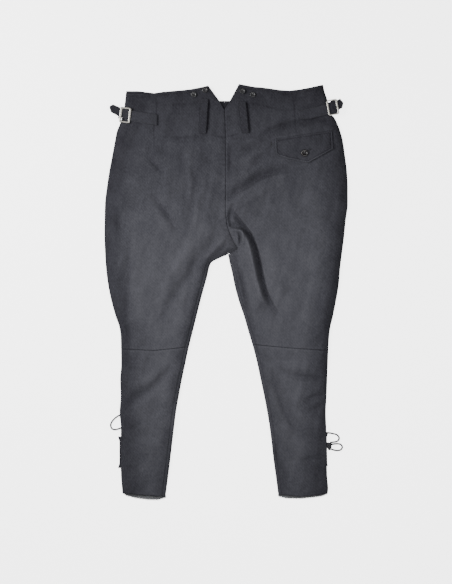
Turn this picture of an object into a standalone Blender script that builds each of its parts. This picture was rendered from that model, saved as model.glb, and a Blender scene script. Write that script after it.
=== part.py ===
"""Close wool riding breeches, laid face down with the back uppermost.

Lengths are millimetres until a piece is made. X runs across the garment from its
centre line, drop runs down from the waist line, and Z runs up from the floor. The
fronts lie flat on the floor, and the backs lie over them as a low hollow form.
"""

import math
from collections import namedtuple

import bmesh
import bpy
from mathutils import Matrix, Vector

MM = 0.001

# Driving dimensions
WAIST_LINE_Y = 515.3        # the waist line's distance above the garment's middle
SEAM_GAP = 0.3
FRONT_WALL = 2.2
BACK_WALL = 2.0
EDGE_TOP = 4.7              # height of the back's outer edge where it meets the front
INNER_ROLL = 34.0           # width over which a leg rounds down at its inseam
DOME_POWER = 2.4            # how full the rounding is
CROTCH_DROP = 421.0
DIP_START_DROP = 322.0      # from here to the crotch the two legs part
CROTCH_REACH = 40.0         # how far up and down a leg's edge is looked for at the crotch
FOLD_END = 0.35             # a fold's height at its two ends, as a share of its middle
FOLD_STEPS = 10
STRAP_WALL = 1.8
STRAP_PLATEAU = 236.0       # past this distance from the centre a strap no longer falls
STRAP_REACH = 6.0
STRAP_CLEARANCE = 0.6
STRAP_STEPS = 3
TAB_WALL = 1.0
TAB_WIDTH, TAB_RISE = 15.0, 8.0
LOOP_WALL = 2.0
LOOP_WIDTH = 18.0
LOOP_PROUD = 3.2
LOOP_SEWN = 0.16            # share of a loop at each end that bends down to its seam
FLAP_WALL = 2.2
FLAP_LIFT = 0.6             # how far the flap's free edge stands off
FLAP_LEAN = (2.5, 3.0)      # how far each side of the flap leans towards its point
BUCKLE_WIDTH, BUCKLE_LENGTH = 28.0, 39.0
BUCKLE_SIDE_BAR, BUCKLE_END_BAR = 5.2, 4.2
BUCKLE_CHAMFER, WINDOW_CHAMFER = 4.0, 1.0
BUCKLE_THICKNESS = 2.4
BRACE_BUTTON_RADIUS, BRACE_BUTTON_THICKNESS = 7.0, 3.2
FLAP_BUTTON_RADIUS, FLAP_BUTTON_THICKNESS = 8.8, 3.6
FLAP_BUTTON_CLEARANCE = 0.7
BUTTON_SIDES = 16
BAND_WALL = 1.8
BAND_TUCK = 4.0             # how far the hem band reaches up under the back's hem
PLACKET_WALL = 1.2
PLACKET_SHOWS = 1.2         # the least of a placket that shows past the leg
CORD_DIAMETER = 4.0
SLIT_LIFT = 4.4             # how far a calf slit's edge is lifted by the laces
SLIT_FADE = 26.0
KNOT_SIZE = (13.0, 24.0, 8.0)
UPPER_COLUMNS, LOWER_COLUMNS = 18, 12
COLUMN_CROWDING = 0.45      # how far a panel's columns gather at its edges
ROW_LEAST = 2.6             # rows of a panel that come closer than this are one

WOOL_COLOUR = (0.085, 0.085, 0.092)
TAPE_COLOUR = (0.22, 0.22, 0.21)
CORD_COLOUR = (0.02, 0.02, 0.022)
NICKEL_COLOUR = (0.72, 0.71, 0.68)
HORN_COLOUR = (0.012, 0.012, 0.014)

# Half section of a button, as shares of its radius and thickness
BUTTON_PROFILE = (
    (0.0, 0.55), (0.45, 0.55), (0.62, 0.95), (0.82, 1.0), (1.0, 0.6), (0.92, 0.1), (0.7, 0.0),
    (0.0, 0.0),
)

Side = namedtuple("Side", "drop left right")
Edge = namedtuple("Edge", "x drop")
Form = namedtuple("Form", "drop rise roll")
Fold = namedtuple("Fold", "leg x0 d0 x1 d1 x2 d2 height width")
Band = namedtuple("Band", "x_top d_top x_low d_low")
Slit = namedtuple("Slit", "leg first last")

# Distance of each side from the centre line
SIDES = (
    Side(-6, 249, 241.5), Side(15, 250, 246), Side(35, 252, 252.5), Side(57, 255, 255),
    Side(68, 257.5, 256.5), Side(77, 259.5, 268), Side(95, 265, 278), Side(115, 273, 285.5),
    Side(135, 277, 291), Side(175, 284.5, 297), Side(215, 292, 302), Side(255, 298, 304),
    Side(295, 302.5, 304), Side(335, 303.5, 299), Side(375, 304, 295), Side(415, 302.5, 290),
    Side(455, 300, 285), Side(495, 295, 281.5), Side(535, 287, 275), Side(575, 276, 267),
    Side(605, 266, 260), Side(630, 263, 257), Side(695, 262, 254), Side(735, 264.5, 252.5),
    Side(775, 263.5, 251), Side(815, 265.5, 249), Side(855, 262.5, 250), Side(935, 263.5, 251.5),
    Side(975, 262.5, 252.5), Side(1005, 260, 255), Side(1040, 257, 249),
)

# Where the centre seam, and below the crotch each inseam, lies
INNER = (
    Side(-6, -5, -5), Side(57, -4, -4), Side(147, -1, -1), Side(305, -1.5, -1.5),
    Side(343, 1.5, 1.5), Side(358, 5.5, 5.5), Side(377, 12.5, 12.5), Side(397, 23, 23),
    Side(404.5, 28, 28), Side(412, 20, 20), Side(CROTCH_DROP, 4.5, 4.5), Side(426, -7.5, 5.8),
    Side(433, -22, 7), Side(441, -36.5, 8.5), Side(455, -42.5, 12), Side(475, -47, 16.5),
    Side(495, -52.5, 20.5), Side(535, -63.5, 31), Side(575, -73.5, 44.5), Side(615, -83.5, 56),
    Side(655, -93.5, 68), Side(695, -102, 78), Side(735, -110.5, 86.5), Side(775, -118, 95),
    Side(815, -125, 102.5), Side(855, -130, 109), Side(935, -139.5, 118.5),
    Side(975, -144.5, 124), Side(1040, -153, 132.5),
)

# The back's waist edge: a fishtail with a peak at each side of its notch
BACK_WAIST = (
    Edge(-250, 18.5), Edge(-203, 20), Edge(-187, 20), Edge(-156, 15.5), Edge(-90, 9.5),
    Edge(-63, 4.5), Edge(-44.5, 0), Edge(-30, 20), Edge(-17, 38), Edge(-5, 60),
    Edge(-3, 58), Edge(10, 37), Edge(22, 15), Edge(32, -4), Edge(67, 2.5), Edge(92, 5),
    Edge(135, 11.5), Edge(160, 12.5), Edge(184, 9.5), Edge(209, 5), Edge(242, -2.5),
)
FISHTAIL = {"left": (-44.5, -17), "right": (32, 10)}
FRONT_WAIST = (
    Edge(-250, 13), Edge(-219, 13), Edge(-187, 17), Edge(-150, 23), Edge(-60, 34),
    Edge(-17, 37.5), Edge(9, 37.5), Edge(60, 31), Edge(150, 25), Edge(242, 10),
)
KNEE = (
    Edge(-262, 657), Edge(-178, 661), Edge(-94, 652), Edge(68, 646), Edge(165, 655), Edge(256, 661),
)
BACK_HEM = (
    Edge(-258, 1017), Edge(-228, 1020), Edge(-195, 1022), Edge(-152, 1026),
    Edge(132, 1021), Edge(169, 1023), Edge(187, 1025), Edge(222, 1022), Edge(252, 1018),
)
BAND_HEM = (
    Edge(-258, 1018), Edge(-249, 1024), Edge(-226, 1030), Edge(-195, 1034), Edge(-171, 1034.6),
    Edge(-152, 1029), Edge(132, 1026), Edge(151, 1031), Edge(187, 1031.5), Edge(222, 1028),
    Edge(240, 1025), Edge(252, 1020),
)

# How high the back stands above its edge, and how wide a side's rounding is
FORMS = (
    Form(0, 5.2, 12), Form(60, 5.6, 13), Form(110, 7.5, 20), Form(160, 10.5, 32),
    Form(230, 13.0, 40), Form(330, 13.5, 42), Form(430, 13.0, 38), Form(560, 11.5, 34),
    Form(655, 9.5, 28), Form(740, 10.5, 30), Form(850, 9.6, 28), Form(960, 7.8, 24),
    Form(1025, 6.0, 20),
)

# The largest folds, each an arc through three points; a trough's height is negative
FOLDS = (
    Fold("left", -168, 297, -115, 360, -109, 380, -3.5, 14),
    Fold("left", -96, 197, -97, 260, -96, 318, -2.8, 13),
    Fold("left", -65, 135, -62, 230, -65, 322, 2.6, 16),
    Fold("left", -235, 380, -248, 572, -238, 747, -2.6, 12),
    Fold("left", -18, 380, -73, 467, -160, 560, -4.5, 15),
    Fold("left", -60, 350, -110, 425, -175, 500, 3.0, 20),
    Fold("left", -153, 730, -210, 785, -255, 805, -3.2, 13),
    Fold("left", -140, 680, -170, 715, -195, 742, 2.2, 16),
    Fold("right", 8, 325, 72, 385, 127, 567, -5.0, 12),
    Fold("right", 30, 345, 52, 410, 70, 480, 3.6, 13),
    Fold("right", 155, 215, 60, 245, 10, 285, -3.0, 14),
    Fold("right", 180, 88, 115, 108, 72, 142, -1.6, 12),
    Fold("right", 152, 722, 200, 732, 247, 737, -2.4, 12),
    Fold("right", 97, 700, 138, 792, 172, 877, -2.8, 14),
)
SLITS = (Slit("left", 812, 866), Slit("right", 858, 912))

# Sections of the adjuster straps, from the sewn end to the tail's point
STRAPS = {
    "left": (
        Band(-171, 72.5, -171, 100), Band(-204, 68, -202, 96), Band(-237.5, 63, -233.5, 91),
        Band(-265.5, 55, -266, 78.5), Band(-281.5, 47.5, -287, 67), Band(-289.8, 51.5, -290.4, 56.5),
    ),
    "right": (
        Band(177.5, 63.5, 184, 84.5), Band(210, 56.5, 210, 83.5), Band(238, 49.5, 233, 77.5),
        Band(255, 46, 256, 72), Band(276, 38, 280.5, 61), Band(284, 33, 289.5, 56.5),
        Band(291.5, 42, 292, 46.5),
    ),
}
BUCKLES = {"left": (-251.5, 74.5, -7.0), "right": (265.5, 55.0, 10.0)}
LOOPS = {"left": (-53, 34, -59, 121), "right": (40, 40, 48, 119)}
BRACE_BUTTONS = (Edge(-80.5, 22.5), Edge(-53, 11.5), Edge(41, 14), Edge(66.5, 23))
FLAP_BUTTON = Edge(195, 169.5)
FLAP_TOP = (Edge(120.5, 134), Edge(264, 112))
FLAP_LOW = (Edge(123, 167), Edge(132, 177), Edge(155, 184), Edge(203.5, 194.5), Edge(267, 159))
PLACKETS = {"left": (876, 955, 270.0), "right": (868, 950, 254.5)}

LACES = {
    "lace_left": (
        (-256, 822, 4.7), (-262, 822, 4.6), (-268.5, 824, 4.1), (-277, 830, 2.8), (-285, 838.5, 2.2),
        (-288.4, 848, 2.1), (-285, 856.5, 2.1), (-277, 858.8, 2.4), (-268, 856.5, 3.6),
        (-261, 854, 4.5), (-255, 853.5, 4.7),
    ),
    "lace_right_upper": (
        (244, 866.2, 4.7), (251, 866.2, 4.6), (258, 867, 3.9), (268, 869, 2.5), (277, 872, 2.1),
        (282.3, 879.5, 2.1), (279, 886.8, 2.2), (271, 889.6, 2.7), (263.4, 890.4, 3.5),
    ),
    "lace_right_lower": (
        (264.5, 896.2, 3.4), (271, 894.6, 2.4), (279, 894.2, 2.1), (286.6, 896.2, 2.1),
        (290.2, 902.4, 2.1), (286.8, 908.8, 2.1), (279, 911, 2.1), (271, 910.2, 2.4),
        (263.4, 907.6, 3.4),
    ),
}
KNOT_PLACE = (257.4, 898.5, 5.2)


def smooth(t):
    """A soft step from 0 to 1."""
    t = max(0.0, min(1.0, t))
    return t * t * (3 - 2 * t)


def mix(a, b, t):
    return a + (b - a) * t


def read(rows, at, column):
    """A column at a station, along a curve through the rows that never overshoots."""
    if at <= rows[0][0]:
        return getattr(rows[0], column)
    if at >= rows[-1][0]:
        return getattr(rows[-1], column)
    k = next(i for i in range(len(rows) - 1) if rows[i + 1][0] >= at)
    span = rows[k + 1][0] - rows[k][0]

    def secant(i):
        i = max(0, min(len(rows) - 2, i))
        rise = getattr(rows[i + 1], column) - getattr(rows[i], column)
        return rise / (rows[i + 1][0] - rows[i][0])

    def slope(i):
        before, after = secant(i - 1), secant(i)
        return 0.0 if before * after <= 0 else 2 * before * after / (before + after)

    t = (at - rows[k][0]) / span
    a, b = getattr(rows[k], column), getattr(rows[k + 1], column)
    return (
        a * (2 * t**3 - 3 * t**2 + 1)
        + b * (3 * t**2 - 2 * t**3)
        + span * (slope(k) * (t**3 - 2 * t**2 + t) + slope(k + 1) * (t**3 - t**2))
    )


def along(rows, x):
    """An edge's drop at X, by straight steps between its points."""
    for a, b in zip(rows, rows[1:]):
        if x <= b.x:
            return mix(a.drop, b.drop, max(0.0, (x - a.x) / (b.x - a.x)))
    return rows[-1].drop


def ends(leg, drop):
    """X of a leg's left and right edges at a drop."""
    left, right = read(INNER, drop, "left"), read(INNER, drop, "right")
    if leg == "left":
        return -read(SIDES, drop, "left"), min(left, right) - SEAM_GAP / 2
    return max(left, right) + SEAM_GAP / 2, read(SIDES, drop, "right")


def dome(t):
    """A rounding from 0 at an edge to 1."""
    return 1 - (1 - max(0.0, min(1.0, t))) ** DOME_POWER


def from_inner_edge(leg, x, drop):
    """Distance from the centre seam or inseam, measured slantwise where the crotch turns it."""
    inner = 1 if leg == "left" else 0
    level = abs(ends(leg, drop)[inner] - x)
    if level > INNER_ROLL + CROTCH_REACH or abs(drop - CROTCH_DROP) > 3 * CROTCH_REACH:
        return level
    slanted = [level]
    for shift in spaced(-CROTCH_REACH, CROTCH_REACH, 2):
        edge = ends(leg, drop + shift)[inner]
        across = edge - x if leg == "left" else x - edge
        slanted.append(math.hypot(max(across, 0.0), shift))
    return min(slanted)


def fold_height(leg, x, drop):
    """What the folds add at a point: each is a soft ridge or trough that fades at its ends."""
    total = 0.0
    for fold in FOLDS:
        if fold.leg != leg:
            continue
        best, best_t = 1e9, 0.0
        for i in range(FOLD_STEPS + 1):
            t = i / FOLD_STEPS
            a, b, c = (1 - t) ** 2, 2 * t * (1 - t), t * t
            middle_x = 2 * fold.x1 - (fold.x0 + fold.x2) / 2
            middle_d = 2 * fold.d1 - (fold.d0 + fold.d2) / 2
            px = a * fold.x0 + b * middle_x + c * fold.x2
            pd = a * fold.d0 + b * middle_d + c * fold.d2
            distance = math.hypot(x - px, drop - pd)
            if distance < best:
                best, best_t = distance, t
        taper = FOLD_END + (1 - FOLD_END) * math.sin(math.pi * best_t)
        total += fold.height * taper * math.exp(-((best / fold.width) ** 2))
    return total


def slit_lift(leg, x, drop):
    """The lift of the side edge where the laces come out of a calf slit."""
    for slit in SLITS:
        if slit.leg == leg:
            enter = smooth((drop - slit.first + SLIT_FADE) / SLIT_FADE)
            leave = smooth((slit.last + SLIT_FADE - drop) / SLIT_FADE)
            return SLIT_LIFT * enter * leave
    return 0.0


def surface(leg, x, drop):
    """Height of the back's outer face."""
    x_left, x_right = ends(leg, drop)
    from_side = x - x_left if leg == "left" else x_right - x
    outer = dome(from_side / read(FORMS, drop, "roll"))
    parted = smooth((drop - DIP_START_DROP) / (CROTCH_DROP - DIP_START_DROP))
    inner = 1.0
    if parted > 0:
        inner -= parted * (1 - dome(from_inner_edge(leg, x, drop) / INNER_ROLL))
    swell = outer * inner
    lift = slit_lift(leg, x, drop) * (1 - outer)
    return EDGE_TOP + lift + swell * (read(FORMS, drop, "rise") + fold_height(leg, x, drop))


def leg_of(x):
    return "left" if x < 0 else "right"


def place(x, drop, z):
    """A point of the garment in metres."""
    return Vector((x * MM, (WAIST_LINE_Y - drop) * MM, z * MM))


def finish(name, colour, roughness, metallic=0.0):
    material = bpy.data.materials.new(name)
    material.use_nodes = True
    shader = material.node_tree.nodes["Principled BSDF"]
    shader.inputs["Base Color"].default_value = (*colour, 1.0)
    shader.inputs["Roughness"].default_value = roughness
    shader.inputs["Metallic"].default_value = metallic
    return material


def wool(name, shade):
    return finish(f"{name}_wool", tuple(shade * part for part in WOOL_COLOUR), 0.95)


def metal(name):
    return finish(f"{name}_nickel", NICKEL_COLOUR, 0.22, 1.0)


def horn(name):
    return finish(f"{name}_horn", HORN_COLOUR, 0.25)


def add(collection, name, data, material):
    item = bpy.data.objects.new(name, data)
    data.materials.append(material)
    collection.objects.link(item)
    return item


def shell(collection, name, rows, wall, material):
    """Cloth: an open grid through its outer face's points, thickened downward."""
    mesh = bpy.data.meshes.new(name)
    grid = bmesh.new()
    points = [[grid.verts.new(place(*point)) for point in row] for row in rows]
    for upper, lower in zip(points, points[1:]):
        for k in range(len(upper) - 1):
            grid.faces.new((lower[k], lower[k + 1], upper[k + 1], upper[k]))
    bmesh.ops.recalc_face_normals(grid, faces=grid.faces)
    if sum(face.normal.z for face in grid.faces) < 0:
        bmesh.ops.reverse_faces(grid, faces=grid.faces)
    grid.to_mesh(mesh)
    grid.free()
    mesh.shade_smooth()
    item = add(collection, name, mesh, material)
    thicken = item.modifiers.new("wall", "SOLIDIFY")
    thicken.thickness = wall * MM
    thicken.offset = -1
    return item


def plate(collection, name, outlines, bottom, wall, material):
    """A flat piece: an outline, with any holes, extruded to its wall."""
    curve = bpy.data.curves.new(name, "CURVE")
    curve.dimensions = "2D"
    curve.fill_mode = "BOTH"
    curve.extrude = wall * MM / 2
    for outline in outlines:
        spline = curve.splines.new("POLY")
        spline.points.add(len(outline) - 1)
        for point, (x, y) in zip(spline.points, outline):
            point.co = (x * MM, y * MM, 0.0, 1.0)
        spline.use_cyclic_u = True
    item = add(collection, name, curve, material)
    item.location.z = (bottom + wall / 2) * MM
    return item


def spaced(first, last, step):
    """Stations from first to last, about a step apart."""
    count = max(1, round((last - first) / step))
    return [mix(first, last, i / count) for i in range(count + 1)]


def crossing(leg, edge, end):
    """Where a panel's upper or lower edge meets its left or right end."""
    drop = edge[0].drop
    for _ in range(8):
        drop = along(edge, ends(leg, drop)[end])
    return ends(leg, drop)[end]


def panel_points(leg, top, low, side_drops, inner_drops, columns, corners=()):
    """X and drop across a panel: rows run between its top and bottom edges.

    A row meets each drop that is given for the side or for the inner edge, and a column
    meets each corner, which is a share of the panel's width.
    """
    even = [k / columns for k in range(columns + 1)]
    shares = [mix(share, smooth(share), COLUMN_CROWDING) for share in even]
    for corner in corners:
        nearest = min(range(columns + 1), key=lambda k: abs(shares[k] - corner))
        shares[nearest] = corner
    upper = [crossing(leg, top, end) for end in (0, 1)]
    lower = [crossing(leg, low, end) for end in (0, 1)]
    tops = [along(top, mix(*upper, share)) for share in shares]
    lows = [along(low, mix(*lower, share)) for share in shares]
    side, inner = (0, -1) if leg == "left" else (-1, 0)
    levels = [0.0, 1.0]
    for column, drops in ((inner, inner_drops), (side, side_drops)):
        height = lows[column] - tops[column]
        for drop in drops:
            level = (drop - tops[column]) / height
            if min(abs(level - other) for other in levels) * height > ROW_LEAST and 0 < level < 1:
                levels.append(level)
    rows = []
    for v in sorted(levels):
        limits = [ends(leg, mix(tops[end], lows[end], v))[end] for end in (0, -1)]
        rows.append([
            (mix(*limits, share), mix(a, b, v)) for share, a, b in zip(shares, tops, lows)
        ])
    return rows


def moved(edge, distance):
    """An edge moved down the garment."""
    return tuple(Edge(point.x, point.drop + distance) for point in edge)


def make_backs(collection):
    crotch = [360, 375, 387, 396, 401, 405, 409, 414, CROTCH_DROP, 424, 428, 433, 441, 455]
    upper = [30, 45, 57, 68, 77, 95, 115, 135] + spaced(157, 335, 23) + spaced(480, 630, 22)
    for leg in ("left", "right"):
        x_left, x_right = (crossing(leg, BACK_WAIST, end) for end in (0, 1))
        corners = [(x - x_left) / (x_right - x_left) for x in FISHTAIL[leg]]
        knee = moved(KNEE, -SEAM_GAP / 2)
        columns = panel_points(leg, BACK_WAIST, knee, upper, crotch, UPPER_COLUMNS, corners)
        rows = [[(x, d, surface(leg, x, d)) for x, d in row] for row in columns]
        name = f"back_{leg}_upper"
        shell(collection, name, rows, BACK_WALL, wool(name, 1.0))
        top = moved(KNEE, SEAM_GAP / 2)
        columns = panel_points(leg, top, BACK_HEM, spaced(675, 1003, 19), [], LOWER_COLUMNS)
        rows = [[(x, d, surface(leg, x, d)) for x, d in row] for row in columns]
        name = f"back_{leg}_lower"
        shell(collection, name, rows, BACK_WALL, wool(name, 0.95))


def make_fronts(collection):
    """The fronts are one flat piece each, and follow the back's outline."""
    crotch = [370, 384, 394, 401, 405, 410, 416, CROTCH_DROP, 424, 428, 433, 441]
    stations = spaced(20, 360, 20) + crotch + spaced(460, 1000, 20)
    for leg in ("left", "right"):
        side, inner = (0, 1) if leg == "left" else (1, 0)
        reach = [point for point in FRONT_WAIST if leg_of(point.x) == leg]
        centre = ends(leg, 40)[inner]
        waist = [(point.x, point.drop) for point in reach if abs(point.x - centre) > 4]
        waist.append((centre, along(FRONT_WAIST, centre)))
        waist.sort(key=lambda point: abs(point[0]), reverse=True)
        hem = [ends(leg, 1018)[side], ends(leg, 1018)[inner]]
        low = [(x, along(BACK_HEM, x) - BAND_TUCK - SEAM_GAP) for x in spaced(hem[1], hem[0], 20)]
        down = [(ends(leg, d)[inner], d) for d in stations if d > waist[-1][1] + 5]
        up = [(ends(leg, d)[side], d) for d in reversed(stations)]
        outline = [(x, WAIST_LINE_Y - d) for x, d in waist + down + low + up]
        name = f"front_{leg}"
        plate(collection, name, [outline], 0.0, FRONT_WALL, wool(name, 0.9))


def make_hem_bands(collection):
    for leg in ("left", "right"):
        x_left, x_right = ends(leg, 1019)
        across = [x for x in spaced(x_left, x_right, 12)]
        top = [(x, along(BACK_HEM, x) - BAND_TUCK) for x in across]
        low = [(x, along(BAND_HEM, x)) for x in reversed(across)]
        outline = [(x, WAIST_LINE_Y - d) for x, d in top + low]
        name = f"hem_band_{leg}"
        material = finish(f"{name}_tape", TAPE_COLOUR, 0.95)
        plate(collection, name, [outline], 0.0, BAND_WALL, material)


def make_plackets(collection):
    """An underlap strip lies on the floor beside each calf slit and shows past the edge."""
    for leg, (first, last, reach) in PLACKETS.items():
        sign = -1 if leg == "left" else 1
        rows = []
        for drop in spaced(first, last, 8):
            edge = read(SIDES, drop, leg) + SEAM_GAP
            rows.append((sign * edge, sign * max(edge + PLACKET_SHOWS, reach), drop))
        outline = [(a, WAIST_LINE_Y - d) for a, _, d in rows]
        outline += [(b, WAIST_LINE_Y - d) for _, b, d in reversed(rows[1:-1])]
        name = f"placket_{leg}"
        plate(collection, name, [outline], 0.0, PLACKET_WALL, wool(name, 0.7))


def make_loops(collection):
    for leg, (x_top, d_top, x_low, d_low) in LOOPS.items():
        rows = []
        for v in spaced(0, 1, 0.1):
            x, drop = mix(x_top, x_low, v), mix(d_top, d_low, v)
            proud = LOOP_PROUD * smooth(v / LOOP_SEWN) * smooth((1 - v) / LOOP_SEWN)
            across = [x + LOOP_WIDTH * (u - 0.5) for u in (0, 0.5, 1)]
            heights = [surface(leg, edge, drop) for edge in across]
            top = max(heights) + SEAM_GAP + LOOP_WALL + proud
            rows.append([(edge, drop, top) for edge in across])
        name = f"belt_loop_{leg}"
        shell(collection, name, rows, LOOP_WALL, wool(name, 0.9))


def strap_rows(leg):
    """Rows across a strap, each level: it follows the back, then runs out flat past the side."""
    rows = []
    sections = STRAPS[leg]
    for a, b in zip(sections, sections[1:]):
        steps = [i / STRAP_STEPS for i in range(STRAP_STEPS)]
        rows += [Band(*(mix(p, q, t) for p, q in zip(a, b))) for t in steps]
    rows.append(sections[-1])
    grid = []
    for row in rows:
        across = [
            (mix(row.x_low, row.x_top, u), mix(row.d_low, row.d_top, u)) for u in (0, 0.5, 1)
        ]
        inside = [(max(-STRAP_PLATEAU, min(STRAP_PLATEAU, x)), d) for x, d in across]
        under = max(
            surface(leg, x + dx, d) for x, d in inside for dx in (-STRAP_REACH, 0, STRAP_REACH)
        )
        top = under + STRAP_CLEARANCE + STRAP_WALL
        grid.append([(x, d, top) for x, d in across])
    return grid


def strap_top(leg):
    """The strap's height where the buckle lies on it."""
    x = BUCKLES[leg][0]
    return max(row[0][2] for row in strap_rows(leg) if abs(row[1][0] - x) < BUCKLE_WIDTH / 2 + 4)


def make_straps(collection):
    for leg in STRAPS:
        name = f"strap_{leg}"
        shell(collection, name, strap_rows(leg), STRAP_WALL, wool(name, 0.9))


def rounded_frame(width, length, chamfer):
    """A rectangle with its corners cut off, counter-clockwise."""
    x, y, c = width / 2, length / 2, chamfer
    return [
        (x, -y + c), (x, y - c), (x - c, y), (-x + c, y),
        (-x, y - c), (-x, -y + c), (-x + c, -y), (x - c, -y),
    ]


def make_buckles(collection):
    """A flat slide buckle lies on each strap, just past the side seam."""
    for leg, (x, drop, tilt) in BUCKLES.items():
        level = strap_top(leg) + SEAM_GAP
        outer = rounded_frame(BUCKLE_WIDTH, BUCKLE_LENGTH, BUCKLE_CHAMFER)
        window_width = BUCKLE_WIDTH - 2 * BUCKLE_SIDE_BAR
        window_length = BUCKLE_LENGTH - 2 * BUCKLE_END_BAR
        window = rounded_frame(window_width, window_length, WINDOW_CHAMFER)[::-1]
        name = f"buckle_{leg}"
        item = plate(collection, name, [outer, window], level, BUCKLE_THICKNESS, metal(name))
        item.location.x = x * MM
        item.location.y = (WAIST_LINE_Y - drop) * MM
        item.rotation_euler.z = math.radians(tilt)


def make_buckle_tabs(collection):
    """The short piece that rises from the side seam to the buckle, under the strap's tail."""
    for leg, (x, drop, tilt) in BUCKLES.items():
        sign = -1 if leg == "left" else 1
        tail = [row[1][2] for row in strap_rows(leg) if abs(row[1][0]) > abs(x)]
        high = min(tail) - STRAP_WALL - SEAM_GAP
        rows = []
        for t in spaced(0, 1, 0.25):
            row = []
            for reach in (-TAB_WIDTH / 2, 0, TAB_WIDTH / 2):
                side = read(SIDES, drop + reach, leg) + 3 * SEAM_GAP + TAB_RISE * t
                row.append((sign * side, drop + reach, mix(EDGE_TOP, high, smooth(t))))
            rows.append(row)
        name = f"buckle_tab_{leg}"
        shell(collection, name, rows, TAB_WALL, wool(name, 0.8))


def make_pocket_flap(collection):
    rows = []
    for v in spaced(0, 1, 0.1):
        row = []
        for u in spaced(0, 1, 0.1):
            x = mix(FLAP_TOP[0].x, FLAP_TOP[1].x, u) + v * mix(*FLAP_LEAN, u)
            top, low = along(FLAP_TOP, x), along(FLAP_LOW, x)
            drop = mix(top, low, v)
            height = surface("right", x, drop) + SEAM_GAP + FLAP_WALL + FLAP_LIFT * smooth(v)
            row.append((x, drop, height))
        rows.append(row)
    shell(collection, "pocket_flap", rows, FLAP_WALL, wool("pocket_flap", 1.05))


def button(collection, name, at, bottom, radius, thickness):
    """A dished button, turned about its own axis."""
    mesh = bpy.data.meshes.new(name)
    line = bmesh.new()
    points = [line.verts.new((r * radius * MM, 0, z * thickness * MM)) for r, z in BUTTON_PROFILE]
    for a, b in zip(points, points[1:]):
        line.edges.new((a, b))
    line.to_mesh(mesh)
    line.free()
    item = add(collection, name, mesh, horn(name))
    turn = item.modifiers.new("turn", "SCREW")
    turn.steps = turn.render_steps = BUTTON_SIDES
    turn.use_merge_vertices = True
    turn.merge_threshold = 0.00001
    turn.use_normal_calculate = True
    item.location = place(at.x, at.drop, bottom)
    return item


def make_buttons(collection):
    for number, at in enumerate(BRACE_BUTTONS, start=1):
        around = [
            surface(leg_of(at.x), at.x + BRACE_BUTTON_RADIUS * dx, at.drop + BRACE_BUTTON_RADIUS * dy)
            for dx, dy in ((0, 0), (1, 0), (-1, 0), (0, 1), (0, -1))
        ]
        bottom = max(around) + SEAM_GAP
        size = (BRACE_BUTTON_RADIUS, BRACE_BUTTON_THICKNESS)
        button(collection, f"brace_button_{number}", at, bottom, *size)
    under = [
        surface("right", FLAP_BUTTON.x + FLAP_BUTTON_RADIUS * dx, FLAP_BUTTON.drop)
        for dx in (-1, 0, 1)
    ]
    bottom = max(under) + SEAM_GAP + FLAP_WALL + FLAP_LIFT + FLAP_BUTTON_CLEARANCE
    size = (FLAP_BUTTON_RADIUS, FLAP_BUTTON_THICKNESS)
    button(collection, "flap_button", FLAP_BUTTON, bottom, *size)


def curve_through(points, step):
    """Points a step apart on a smooth curve through the route's own points."""
    route = [place(*point) for point in points]
    dense = []
    for i in range(len(route) - 1):
        before, after = route[max(i - 1, 0)], route[min(i + 2, len(route) - 1)]
        a, b = route[i], route[i + 1]
        for k in range(8):
            t = k / 8
            dense.append(
                0.5 * (2 * a + (b - before) * t + (2 * before - 5 * a + 4 * b - after) * t**2
                       + (3 * a - before - 3 * b + after) * t**3)
            )
    dense.append(route[-1])
    spaced_points, travelled = [dense[0]], 0.0
    for a, b in zip(dense, dense[1:]):
        travelled += (b - a).length
        if travelled >= step:
            spaced_points.append(b)
            travelled = 0.0
    if travelled < step / 2:
        spaced_points.pop()
    spaced_points.append(dense[-1])
    return spaced_points


def make_laces(collection):
    for name, points in LACES.items():
        curve = bpy.data.curves.new(name, "CURVE")
        curve.dimensions = "3D"
        curve.bevel_depth = CORD_DIAMETER * MM / 2
        curve.bevel_resolution = 2
        curve.use_fill_caps = True
        route = curve_through(points, 2 * CORD_DIAMETER * MM)
        spline = curve.splines.new("POLY")
        spline.points.add(len(route) - 1)
        for point, at in zip(spline.points, route):
            point.co = (*at, 1.0)
        add(collection, name, curve, finish(f"{name}_cord", CORD_COLOUR, 0.8))
    mesh = bpy.data.meshes.new("lace_knot")
    ball = bmesh.new()
    size = Matrix.Diagonal((*(side * MM for side in KNOT_SIZE), 1.0))
    bmesh.ops.create_uvsphere(ball, u_segments=14, v_segments=8, radius=0.5, matrix=size)
    ball.to_mesh(mesh)
    ball.free()
    mesh.shade_smooth()
    knot = add(collection, "lace_knot", mesh, finish("lace_knot_cord", CORD_COLOUR, 0.8))
    knot.location = place(*KNOT_PLACE)


def main():
    for item in list(bpy.data.objects):
        bpy.data.objects.remove(item, do_unlink=True)
    collection = bpy.data.collections.new("riding_breeches")
    bpy.context.scene.collection.children.link(collection)
    make_fronts(collection)
    make_backs(collection)
    make_hem_bands(collection)
    make_plackets(collection)
    make_loops(collection)
    make_straps(collection)
    make_buckles(collection)
    make_buckle_tabs(collection)
    make_pocket_flap(collection)
    make_buttons(collection)
    make_laces(collection)


main()
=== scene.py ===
"""Close wool riding breeches, laid face down with the back uppermost, dressed for the camera.

Lengths are millimetres until a mesh is made. X runs across the garment from its centre
line, drop runs down from the waist line, and Z runs up from the floor.
"""

from __future__ import annotations

import logging
import math
from dataclasses import dataclass, field
from enum import Enum
from typing import Callable, NamedTuple, Optional, Sequence, Union

import bmesh
import bpy
import numpy as np
from bmesh.types import BMesh, BMVert
from bpy.types import ID, Material, Mesh, Node, NodeSocket, NodeTree, Object
from mathutils import Matrix, Vector


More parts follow.
